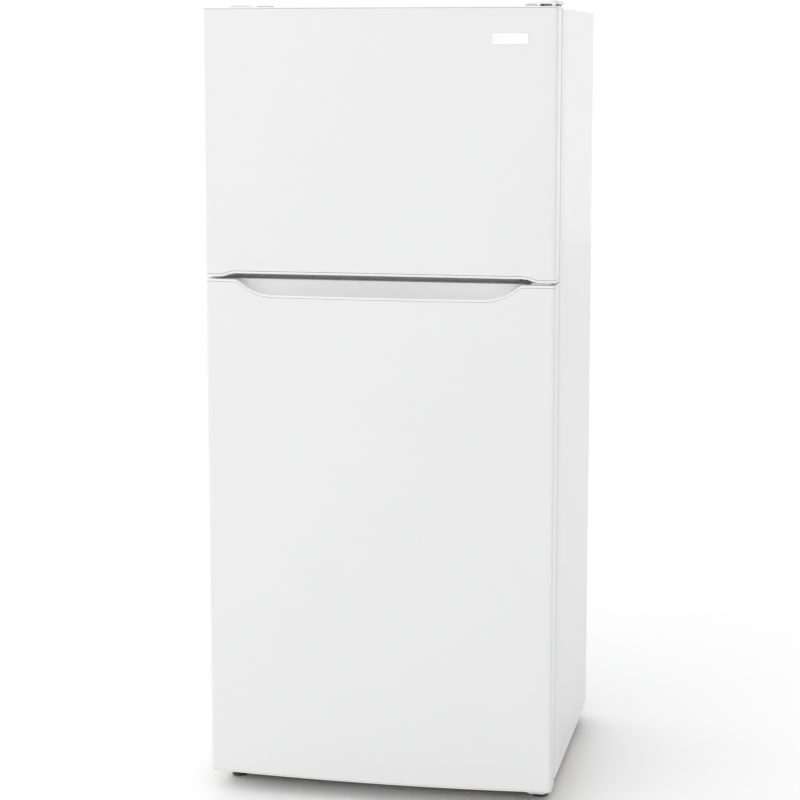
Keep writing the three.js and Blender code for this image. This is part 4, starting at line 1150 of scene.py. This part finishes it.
STEP_FRONT = 0.119  # where the fridge's floor steps up over the machine space
STEP_TOP = 0.316
LINER = 0.002
LEDGE = {"shelf": (-0.140, 0.280), "freezer": (-0.140, 0.225)}


def room_shell(name, outline, half, material):
    """A cold room's lining from its outline in Y and Z, which starts and ends at the front edge."""
    count = len(outline)
    points = [(-half, y, z) for y, z in outline] + [(half, y, z) for y, z in outline]
    faces = [tuple(range(count)), tuple(reversed(range(count, 2 * count)))]
    faces += [(j, j + count, j + 1 + count, j + 1) for j in range(count - 1)]
    mesh = bpy.data.meshes.new(name)
    mesh.from_pydata(points, [], faces)
    bm = bmesh.new()
    bm.from_mesh(mesh)
    bmesh.ops.recalc_face_normals(bm, faces=bm.faces)
    inner = [edge for edge in bm.edges if len(edge.link_faces) == 2]
    bmesh.ops.bevel(bm, geom=inner, offset=0.009, segments=5, affect="EDGES", profile=0.5)
    bmesh.ops.recalc_face_normals(bm, faces=bm.faces)
    side = max(bm.faces, key=lambda face: face.calc_center_median().x)
    if side.normal.x > 0:
        bmesh.ops.reverse_faces(bm, faces=bm.faces)
    bm.to_mesh(mesh)
    bm.free()
    room = new_object(name, mesh, material)
    sheet = room.modifiers.new("thickness", "SOLIDIFY")
    sheet.thickness = 0.0018
    sheet.offset = -1
    return room


def ledge_pair(top, start, end):
    """A rounded ledge on each side wall, its top at top."""
    made = []
    for side in (-1, 1):
        xs = sorted((side * (CAVITY_HALF - 0.012), side * (CAVITY_HALF + 0.0005)))
        made.append(bar("ledge", (xs[0], start, top - 0.006), (xs[1], end, top), LINING, 0.0022, 3))
    return made


def build_room_linings():
    """The moulded linings of both rooms, with their shelf ledges."""
    front = RIM_FRONT
    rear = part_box("fridge_liner")[1].y - LINER
    floor, ceiling = ROOM["fridge"]
    outline = [(front, ceiling), (rear, ceiling), (rear, STEP_TOP), (STEP_FRONT, STEP_TOP),
               (STEP_FRONT, floor), (front, floor)]
    fridge = room_shell("fridge_room", outline, CAVITY_HALF, LINING)
    ledges = []
    for node in ("shelf_upper_frame", "shelf_lower_frame"):
        ledges += ledge_pair(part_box(node)[0].z - 0.0003, *LEDGE["shelf"])
    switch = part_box("light_switch")
    middle_x = (switch[0].x + switch[1].x) / 2
    middle_z = (switch[0].z + switch[1].z) / 2
    boss_front = -0.266
    shaft = turned("boss", [(0.0041, 0), (0.0085, 0), (0.0095, 0.001), (0.0095, 0.030), (0.0041, 0.030)],
                   Vector((middle_x, boss_front, middle_z)), "y", LINING)
    hanger = bar("hanger", (middle_x - 0.0012, boss_front + 0.001, middle_z + 0.008),
                 (middle_x + 0.0012, boss_front + 0.029, ceiling + 0.0005), LINING)
    group("fridge_lining", "cabinet", [fridge, *ledges, shaft, hanger], ["fridge_liner"])
    floor, ceiling = ROOM["freezer"]
    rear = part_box("freezer_liner")[1].y - LINER
    outline = [(front, ceiling), (rear, ceiling), (rear, floor), (front, floor)]
    freezer = room_shell("freezer_room", outline, CAVITY_HALF, LINING)
    ledges = ledge_pair(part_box("freezer_shelf")[0].z - 0.0003, *LEDGE["freezer"])
    group("freezer_lining", "cabinet", [freezer, *ledges], ["freezer_liner"])


def build_base():
    """The toe grille's screws."""
    low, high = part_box("toe_grille")
    screws("toe_grille_screws", "cabinet",
           [(x, low.y, high.z - 0.0045) for x in (-0.350, -0.128, 0.128, 0.350)], "-y", 0.0035, STEEL)


# ------------------------------------------------------------------ shelves, drawers and controls


def build_shelves():
    """The two glass shelves, each a frame and a pane."""
    for level in ("upper", "lower"):
        low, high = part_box(f"shelf_{level}_frame")
        bounds = (low.x, high.x, low.y, high.y)
        border, rebate, soft = 0.024, 0.012, 0.004
        profile = [(-border, low.z + 0.001), (-border + 0.001, low.z), (-soft, low.z)]
        for i in range(5):
            angle = math.pi / 2 * i / 4
            profile.append((-soft + soft * math.sin(angle), low.z + soft * (1 - math.cos(angle))))
        for i in range(5):
            angle = math.pi / 2 * i / 4
            profile.append((-soft * (1 - math.cos(angle)), high.z - soft * (1 - math.sin(angle))))
        profile += [(-rebate + 0.0008, high.z), (-rebate, high.z - 0.0008), (-rebate, high.z - 0.005),
                    (-border, high.z - 0.005)]
        rings = [rect_ring(bounds, 0.026, grow, z, "z") for grow, z in profile]
        rim = loft(f"shelf_{level}_rim", rings, PLASTIC, closed_path=True)
        smooth(rim, 40)
        finish_piece(rim, "cabinet", [f"shelf_{level}_frame"])
        low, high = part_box(f"shelf_{level}_glass")
        rings = [rect_ring((low.x, high.x, low.y, high.y), 0.012, -inset, z, "z")
                 for inset, z in ((0.0008, low.z), (0, low.z + 0.0008), (0, high.z - 0.0008),
                                  (0.0008, high.z))]
        pane = loft(f"shelf_{level}_pane", rings, GLASS)
        smooth(pane, 60)
        finish_piece(pane, "cabinet", [f"shelf_{level}_glass"])


def build_crispers():
    """The two drawers, each with a handle and ribs."""
    for side in ("left", "right"):
        node = "crisper_" + side
        low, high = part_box(node)
        front = low.y + 0.007
        drawer = tub(node + "_tub", (low.x, front, low.z), (high.x, high.y, high.z), CLEAR, 0.003, 0.014,
                     0.0025, 0.003)
        finish_piece(drawer, node + "_body", [node])
        middle = (low.x + high.x) / 2
        handle = extruded("handle", [(front + 0.001, high.z - 0.034), (low.y + 0.0015, high.z - 0.030),
                                     (low.y, high.z - 0.026), (low.y, high.z - 0.020),
                                     (low.y + 0.002, high.z - 0.019),
                                     (low.y + 0.003, high.z - 0.025), (front + 0.001, high.z - 0.028)],
                          "x", middle - 0.11, middle + 0.11, PLASTIC, 0.0006)
        group(node + "_handle", node + "_body", [handle])
        ribs = [bar("rib", (low.x + 0.02, y, low.z + 0.0025), (high.x - 0.02, y + 0.002, low.z + 0.0045),
                    CLEAR, 0.0007)
                for y in [front + 0.03 + 0.03 * i for i in range(7)]]
        group(node + "_ribs", node + "_body", ribs)


def arc_ticks(name, body, centre, radius, count, start, sweep, material, facing_y):
    """Raised marks round a dial, longer towards one end of the scale."""
    made = []
    for i in range(count):
        angle = math.radians(start + sweep * i / (count - 1))
        length = 0.002 + 0.003 * i / (count - 1)
        direction = Vector((math.cos(angle), 0, math.sin(angle)))
        mark = bar("tick", (-length / 2, -0.0004, -0.0005), (length / 2, 0.0004, 0.0005),
                   material, 0.0002, 1)
        mark.data.transform(Matrix.Rotation(-angle, 4, "Y"))
        mark.data.transform(Matrix.Translation(Vector(centre) + direction * (radius + length / 2)
                                               + Vector((0, facing_y, 0))))
        made.append(mark)
    return group(name, body, made)


def build_knob(node, piece_name, body, material):
    """A turned knob with a knurled rim and a raised pointer."""
    low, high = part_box(node)
    x, z = (low.x + high.x) / 2, (low.z + high.z) / 2
    radius = (high.x - low.x) / 2
    face = low.y + 0.005
    back = face + 0.0117
    sides = 96
    rings = []
    for i in range(sides):
        angle = 2 * math.pi * i / sides
        ripple = 0.0004 * math.cos(24 * angle)
        r = radius - 0.0004 + ripple
        profile = [(0, face + 0.0004), (r * 0.72, face + 0.0004), (r * 0.80, face), (r - 0.0012, face),
                   (r, face + 0.0015), (r, back - 0.001), (r - 0.0008, back), (0, back)]
        rings.append([(x + a * math.cos(angle), y, z + a * math.sin(angle)) for a, y in profile])
    body_piece = loft("knob", rings, material, closed_path=True)
    pointer = bar("pointer", (x - 0.0022, low.y, z - radius + 0.003),
                  (x + 0.0022, face + 0.001, z + radius - 0.003),
                  material, 0.0012, 3)
    shaft = disc("shaft", (x, back - 0.001, z), 0.004, high.y - back + 0.001, material, "y")
    group(piece_name, body, [body_piece, pointer, shaft], [node])
    mark = bar(piece_name + "_mark", (x - 0.0006, low.y - 0.0001, z + radius - 0.010),
               (x + 0.0006, low.y + 0.0004, z + radius - 0.0045), DARK, 0.0001, 1)
    finish_piece(mark, body)


def build_controls():
    """Dial and knob with their scales, the lamp with its lens, and the housing's screws."""
    build_knob("control_dial", "temperature_dial", "control_dial_body", GREY)
    build_knob("freezer_knob", "airflow_knob", "freezer_knob_body", GREY)
    low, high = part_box("control_dial")
    centre = ((low.x + high.x) / 2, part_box("control_housing")[0].y, (low.z + high.z) / 2)
    arc_ticks("dial_scale", "cabinet", centre, 0.0205, 9, -45, 270, DARK, -0.0002)
    low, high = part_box("freezer_knob")
    centre = ((low.x + high.x) / 2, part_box("evaporator_cover")[0].y, (low.z + high.z) / 2)
    arc_ticks("knob_scale", "cabinet", centre, 0.0215, 5, 30, 120, GREY, -0.0002)
    low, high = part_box("control_housing")
    lens = tub("lamp_lens", (low.x + 0.021, low.y + 0.026, low.z - 0.0028),
               (high.x - 0.151, high.y - 0.041, low.z + 0.004),
               FROSTED, 0.0012, 0.004)
    finish_piece(lens, "cabinet")
    flutes = [bar("flute", (x, low.y + 0.031, low.z - 0.0034), (x + 0.0022, high.y - 0.046, low.z - 0.0022),
                  FROSTED, 0.0005) for x in [low.x + 0.027 + 0.0052 * i for i in range(20)]]
    group("lamp_lens_flutes", "cabinet", flutes)
    lamp = turned("lamp_bulb",
                  [(0, 0), (0.006, 0), (0.006, 0.014), (0.013, 0.030), (0.015, 0.042), (0.012, 0.054),
                                (0.006, 0.061), (0, 0.063)],
                  Vector((low.x + 0.03, (low.y + high.y) / 2 - 0.01, low.z + 0.026)), "x", FROSTED)
    smooth(lamp, 60)
    finish_piece(lamp, "cabinet")
    screws("control_screws", "cabinet",
           [(x, low.y, high.z - 0.010) for x in (low.x + 0.012, high.x - 0.012)], "-y", 0.0036)


# ------------------------------------------------------------------ freezer's cold side


def fan_blades(name, count, hub, tip, depth, material, sweep=0.35, pitch=0.62):
    """Curved blades about the local z axis, from z 0 to depth."""
    made = []
    rows = 9
    for b in range(count):
        rings = []
        for i in range(rows):
            share = i / (rows - 1)
            r = hub * 0.9 + (tip - hub * 0.9) * share
            chord = (0.62 + 0.5 * share - 0.45 * share**3) * tip * 0.62
            tilt = pitch * (1.25 - 0.5 * share)
            start = 2 * math.pi * b / count + sweep * share**1.5
            section = []
            for u, v in ((-1, 0), (-0.5, 0.7), (0.2, 1), (0.8, 0.6), (1, 0), (0.8, -0.2), (0.2, 0.3),
                         (-0.5, 0.1)):
                along = u * chord / 2
                thick = v * 0.0011
                turn = start + along * math.cos(tilt) / r
                z = depth / 2 + along * math.sin(tilt) + thick
                section.append((r * math.cos(turn), r * math.sin(turn),
                                min(max(z, 0.0002), depth - 0.0002)))
            rings.append(section)
        made.append(loft(name, rings, material))
    return made


def build_fan(node, piece_name, body, axis, material, count):
    """One fan: hub and blades on its own body."""
    low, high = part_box(node)
    centre = (low + high) / 2
    index = "xyz".index(axis)
    depth = high[index] - low[index]
    radius = max(high[i] - low[i] for i in range(3) if i != index) / 2 * 0.985
    hub_radius = radius * 0.3
    start = Vector(centre)
    start[index] = low[index]
    hub = [(0, 0), (hub_radius - 0.003, 0), (hub_radius - 0.0008, 0.0012), (hub_radius, 0.004),
           (hub_radius, depth), (hub_radius - 0.0015, depth), (hub_radius - 0.0015, depth - 0.003),
           (0.004, depth - 0.003), (0.004, depth), (0, depth)]
    pieces = [turned("hub", hub, start, axis, material)]
    for blade in fan_blades("blade", count, hub_radius, radius, depth, material):
        blade.data.transform(Matrix.Translation(start) @ AXES[axis])
        pieces.append(blade)
    return group(piece_name, body, pieces, [node])


def build_evaporator():
    """Fins and the pipe that winds through them."""
    low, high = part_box("evaporator_coil")
    fin_low, fin_high = low.x + 0.015, high.x - 0.015
    fins = []
    count = 77
    for i in range(count):
        x = fin_low + (fin_high - fin_low) * i / (count - 1)
        fins.append(bar("fin", (x - 0.00025, low.y, low.z), (x + 0.00025, high.y, high.z), ALUMINIUM,
                        0.0001, 1))
    group("evaporator_fins", "cabinet", fins)
    middle = (low.y + high.y) / 2
    reach = high.x - 0.004
    levels = [low.z + 0.020 + 0.038 * i for i in range(4)]
    route = []
    for i, z in enumerate(levels):
        ends = (-reach, reach) if i % 2 == 0 else (reach, -reach)
        route += [(ends[0], middle, z), (ends[1], middle, z)]
    pipe = tube("pipe", route, 0.0042, ALUMINIUM, 0.0185)
    group("evaporator_pipe", "cabinet", [pipe], ["evaporator_coil"])


def build_evaporator_cover():
    """The evaporator cover's grille frame, ribs and screws."""
    low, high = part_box("evaporator_cover")
    places = [(x, low.y, z) for x in (-0.30, 0.30) for z in (low.z + 0.025, high.z - 0.025)]
    screws("evaporator_cover_screws", "cabinet", places + [(0, low.y, high.z - 0.025)], "-y", 0.0042)
    rim = (-0.056, 0.056, 1.504, 1.616)
    rings = [rect_ring(rim, 0.008, 0.003, low.y), rect_ring(rim, 0.008, 0.0022, low.y - 0.002),
             rect_ring(rim, 0.008, 0.0008, low.y - 0.002), rect_ring(rim, 0.008, 0, low.y)]
    frame_ring = loft("grille_frame", rings, PLASTIC, closed_path=True)
    ribs = [bar("rib", (x - 0.0015, low.y - 0.0015, low.z + 0.11),
                (x + 0.0015, low.y + 0.0005, high.z - 0.05), PLASTIC)
            for x in (-0.26, -0.22, -0.18, 0.14, 0.18, 0.22, 0.26)]
    group("evaporator_cover_ribs", "cabinet", [frame_ring, *ribs])


# ------------------------------------------------------------------ machine space and back


def build_compressor():
    """The compressor's can, plate, terminals, rubber feet, bolts and pipes."""
    low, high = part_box("compressor")
    x, y = (low.x + high.x) / 2, (low.y + high.y) / 2
    base = low.z + 0.0117
    r, h = 0.072, 0.146
    profile = [(0, 0), (r * 0.55, 0.0005), (r * 0.85, 0.006), (r * 0.95, 0.016), (r * 0.965, 0.028),
               (r * 0.965, h - 0.068),
               (r, h - 0.066), (r, h - 0.060), (r * 0.965, h - 0.058), (r * 0.955, h - 0.035),
               (r * 0.88, h - 0.020),
               (r * 0.70, h - 0.008), (r * 0.40, h - 0.0015), (0, h)]
    can = turned("can", profile, Vector((x, y, base)), "z", DARK, 96)
    plate = extruded("plate", rounded_rect(x - 0.092, x + 0.092, y - 0.062, y + 0.062, 0.012), "z",
                     base - 0.001,
                     base + 0.003, DARK, 0.001)
    box_piece = bar("terminals", (x + 0.055, y - 0.024, base + 0.030), (x + 0.088, y + 0.024, base + 0.078),
                    DARK, 0.006, 4)
    group("compressor_can", "cabinet", [can, plate, box_piece], ["compressor"])
    grommet = [(0.004, 0), (0.009, 0), (0.009, 0.003), (0.0065, 0.0045), (0.0065, 0.0075), (0.009, 0.009),
               (0.009, 0.0115), (0.004, 0.0115)]
    feet = [turned("grommet", grommet, Vector((x + 0.080 * i, y + 0.050 * j, low.z)), "z", DARK_RUBBER, 32)
            for i in (-1, 1) for j in (-1, 1)]
    group("compressor_grommets", "cabinet", feet)
    screws("compressor_bolts", "cabinet",
           [(x + 0.080 * i, y + 0.050 * j, base + 0.003) for i in (-1, 1) for j in (-1, 1)], "z", 0.006)
    pipes = [tube("pipe", [(x + 0.03, y - 0.066, base + 0.05), (x + 0.03, y - 0.078, base + 0.05),
                           (x + 0.03, y - 0.078, base + 0.165), (x + 0.16, y - 0.078, base + 0.165)], 0.003,
                           COPPER, 0.012),
             tube("pipe", [(x - 0.03, y - 0.064, base + 0.05), (x - 0.03, y - 0.077, base + 0.05),
                           (x - 0.03, y - 0.077, base + 0.150), (x - 0.10, y - 0.077, base + 0.150)], 0.004,
                           COPPER, 0.012)]
    group("compressor_pipes", "cabinet", pipes)


def build_condenser():
    """The pipe in two layers, with wires above and below each."""
    low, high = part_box("condenser_coil")
    radius = 0.004
    runs = 6
    front = low.y + radius
    pitch = (high.y - low.y - 2 * radius) / (runs - 1)
    route = []
    for layer in range(2):
        z = (low.z + radius, high.z - radius)[layer]
        for i in range(runs):
            step = runs - 1 - i if layer else i
            y = front + pitch * step
            ends = (low.x + radius, high.x - radius)
            if i % 2 != layer % 2:
                ends = ends[::-1]
            route += [(ends[0], y, z), (ends[1], y, z)]
    pipe = tube("pipe", route, radius * 0.9, DARK, 0.0119)
    group("condenser_pipe", "cabinet", [pipe], ["condenser_coil"])
    wires = []
    for layer_z in (low.z + radius, high.z - radius):
        for i in range(24):
            x = low.x + 0.025 + (high.x - low.x - 0.05) * i / 23
            for lift in (-0.0042, 0.0042):
                wires.append(tube("wire", [(x, low.y, layer_z + lift), (x, high.y, layer_z + lift)], 0.0007,
                                  DARK, 0, 1))
    group("condenser_wires", "cabinet", wires)


def build_motor():
    """The cooling fan's motor: can, bands, post, foot and screws."""
    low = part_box("cooling_fan_motor")[0]
    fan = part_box("cooling_fan")
    y, z = (fan[0].y + fan[1].y) / 2, (fan[0].z + fan[1].z) / 2
    r = 0.022
    length = 0.028
    profile = [(0, 0), (r - 0.004, 0), (r - 0.001, 0.001), (r, 0.004), (r, length - 0.004),
               (r - 0.001, length - 0.001),
               (r - 0.006, length), (0, length)]
    can = turned("can", profile, Vector((low.x, y, z)), "x", DARK, 48)
    rings = [turned("band",
                    [(r - 0.001, 0), (r + 0.0008, 0.0004), (r + 0.0008, 0.0016), (r - 0.001, 0.002)],
                    Vector((low.x + at, y, z)), "x", DARK, 48) for at in (0.007, 0.019)]
    post = bar("post", (low.x + 0.004, y - 0.008, low.z + 0.001), (low.x + 0.024, y + 0.008, z - 0.012),
               DARK, 0.002, 3)
    foot = bar("foot", (low.x, max(low.y, y - 0.030), low.z), (low.x + 0.030, y + 0.030, low.z + 0.003),
               DARK, 0.001)
    group("cooling_motor", "cabinet", [can, *rings, post, foot], ["cooling_fan_motor"])
    screws("cooling_motor_screws", "cabinet",
           [(low.x + 0.015, y + 0.022 * j, low.z + 0.003) for j in (-1, 1)], "z", 0.004)


def build_drain_pan():
    """The open drain pan."""
    low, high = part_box("drain_pan")
    pan = tub("drain_pan_tub", low, high, BLACK, 0.002, 0.012, 0.0015, 0.001)
    finish_piece(pan, "cabinet", ["drain_pan"])


def build_gland():
    """The supply cord's bush."""
    low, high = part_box("cord_gland")
    x, z = (low.x + high.x) / 2, (low.z + high.z) / 2
    profile = [(0.0045, 0), (0.009, 0.0004), (0.009, 0.0093), (0.0140, 0.0093), (0.0140, 0.0108),
               (0.0132, 0.0118),
               (0.0065, 0.012), (0.0045, 0.0112)]
    gland = turned("gland", profile, Vector((x, low.y, z)), "y", DARK_RUBBER, 48)
    group("cord_bush", "cabinet", [gland], ["cord_gland"])


def build_back():
    """Pressed ribs and screws of the rear sheet, and the machine cover's louvres and screws."""
    low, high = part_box("back_panel")
    ribs = []
    for i in range(6):
        x = low.x + (high.x - low.x) * (i + 0.5) / 6
        ribs.append(bar("rib", (x - 0.005, high.y - 0.0006, low.z + 0.10),
                        (x + 0.005, high.y + 0.0011, high.z - 0.10),
                        ZINC, 0.0011, 3))
    ribs += [bar("rib", (low.x + 0.06, high.y - 0.0006, z - 0.005),
                 (high.x - 0.06, high.y + 0.0011, z + 0.005),
                 ZINC, 0.0011, 3) for z in (low.z + 0.06, high.z - 0.06)]
    group("back_panel_ribs", "cabinet", ribs)
    places = [(x, high.y, z) for x in (low.x + 0.022, high.x - 0.022) for z in (0.36, 0.70, 1.04, 1.38)]
    screws("back_panel_screws", "cabinet", places, "y", 0.0038)
    low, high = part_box("machine_cover")
    places = [(x, high.y, z) for x in (low.x + 0.012, 0, high.x - 0.012) for z in (high.z - 0.009,)]
    places += [(low.x + 0.012, high.y, low.z + 0.012), (high.x - 0.012, high.y, low.z + 0.012)]
    screws("machine_cover_screws", "cabinet", places, "y", 0.0026)
    hoods = []
    for middle in (-0.22, 0, 0.22):
        for i in range(6):
            z = 0.130 + (0.100 / 6) * (i + 0.5)
            outline = [(high.y - 0.0006, z), (high.y - 0.0006, z + 0.0068), (high.y + 0.0004, z + 0.0064),
                       (high.y + 0.0024, z + 0.0012), (high.y + 0.0022, z - 0.0004),
                       (high.y + 0.0014, z - 0.0004)]
            hoods.append(extruded("hood", outline, "x", middle - 0.079, middle + 0.079, ZINC, 0.0003))
    group("machine_cover_louvres", "cabinet", hoods)


def build_legs():
    """Both levelling legs: thread and foot."""
    for side in ("left", "right"):
        low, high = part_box("leg_" + side)
        x, y = (low.x + high.x) / 2, (low.y + high.y) / 2
        profile = [(0, 0), (0.0155, 0), (0.0170, 0.001), (0.0175, 0.0025), (0.0160, 0.006), (0.0125, 0.009),
                   (0.0075, 0.0098), (0.0075, 0.0145), (0.0050, 0.0150)]
        turns = 22
        pitch = (high.z - 0.0165) / turns
        for i in range(turns):
            z = 0.0155 + pitch * i
            profile += [(0.0050, z), (0.0044, z + pitch * 0.5)]
        profile += [(0.0044, high.z - 0.0005), (0.0038, high.z), (0, high.z)]
        foot = turned("foot", profile, Vector((x, y, 0)), "z", DARK, 40)
        group(f"leg_{side}_screw", f"leg_{side}_body", [foot], ["leg_" + side])


def build_rollers():
    """Both rear rollers, each a wheel with spokes."""
    for side in ("left", "right"):
        low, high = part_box("roller_" + side)
        centre = (low + high) / 2
        r = (high.z - low.z) / 2
        half = (high.x - low.x) / 2
        profile = [(0.0036, -half), (0.007, -half), (0.0078, -half + 0.002), (r * 0.74, -half + 0.0025),
                   (r * 0.80, -half + 0.0004), (r - 0.0022, -half), (r - 0.0006, -half + 0.0009),
                   (r, -half + 0.0026)]
        profile += [(a, -b) for a, b in reversed(profile)]
        wheel = turned("wheel", profile, centre, "x", BLACK, 64)
        spokes = []
        for i in range(6):
            spoke = bar("spoke", (-half + 0.001, -0.0012, 0.0065), (half - 0.001, 0.0012, r * 0.78), BLACK,
                        0.0006)
            spoke.data.transform(Matrix.Translation(centre) @ Matrix.Rotation(math.pi * i / 3, 4, "X"))
            spokes.append(spoke)
        group(f"roller_{side}_wheel", f"roller_{side}_body", [wheel, *spokes],
              ["roller_" + side])


def build_switch():
    """The light switch's plunger."""
    low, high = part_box("light_switch")
    x, z = (low.x + high.x) / 2, (low.z + high.z) / 2
    r = (high.x - low.x) / 2
    length = high.y - low.y
    profile = [(0, 0), (r * 0.5, 0.0002), (r * 0.9, 0.0012), (r, 0.003), (r, length - 0.0005), (0, length)]
    plunger = turned("plunger", profile, Vector((x, low.y, z)), "y", PLASTIC, 40)
    group("switch_plunger", "light_switch_body", [plunger], ["light_switch"])


# ------------------------------------------------------------------ what is kept from the frame

KEPT = {
    PAINT: ["mullion_bar"],
    PLASTIC: ["toe_grille", "freezer_shelf", "evaporator_cover", "control_housing"],
    GREY: ["air_shutter"],
    LIGHT_GREY: ["top_hinge"],
    CLEAR: ["dairy_box", "dairy_lid", "crisper_cover"],
    FOAM: ["cabinet_foam", "freezer_door_foam", "fridge_door_foam"],
    ZINC: ["back_panel", "base_frame", "machine_cover"],
}
EDGES = {
    "mullion_bar": 0.0003, "toe_grille": 0.0007, "freezer_shelf": 0.0016, "evaporator_cover": 0.0008,
    "control_housing": 0.0022, "air_shutter": 0.0004, "top_hinge": 0.0007, "dairy_box": 0.0008,
    "dairy_lid": 0.0007, "crisper_cover": 0.0010, "cabinet_foam": 0.0, "freezer_door_foam": 0.0,
    "fridge_door_foam": 0.0, "back_panel": 0.0003, "base_frame": 0.0006, "machine_cover": 0.0005,
}


def dress_frame():
    """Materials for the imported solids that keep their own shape."""
    for material, nodes in KEPT.items():
        for node in nodes:
            dress(node, material, EDGES[node])


# ------------------------------------------------------------------ the scene

place_camera()
light_studio()
lay_floor()
dress_frame()
build_doors()
build_badge()
for door in ("freezer", "fridge"):
    build_gasket(door + "_door_seal", door + "_door", door + "_door_gasket")
    build_door_liner(door)
build_bins()
build_dairy()
build_centre_hinge()
build_bottom_hinge()
build_top_hinge()
build_left_cap()
build_cabinet_shell()
build_room_linings()
build_base()
build_shelves()
build_crispers()
build_controls()
build_switch()
build_evaporator()
build_evaporator_cover()
build_fan("evaporator_fan", "evaporator_blades", "evaporator_fan_body", "y", GREY, 4)
build_fan("cooling_fan", "cooling_blades", "cooling_fan_body", "x", BLACK, 5)
build_compressor()
build_condenser()
build_motor()
build_drain_pan()
build_gland()
build_back()
build_legs()
build_rollers()
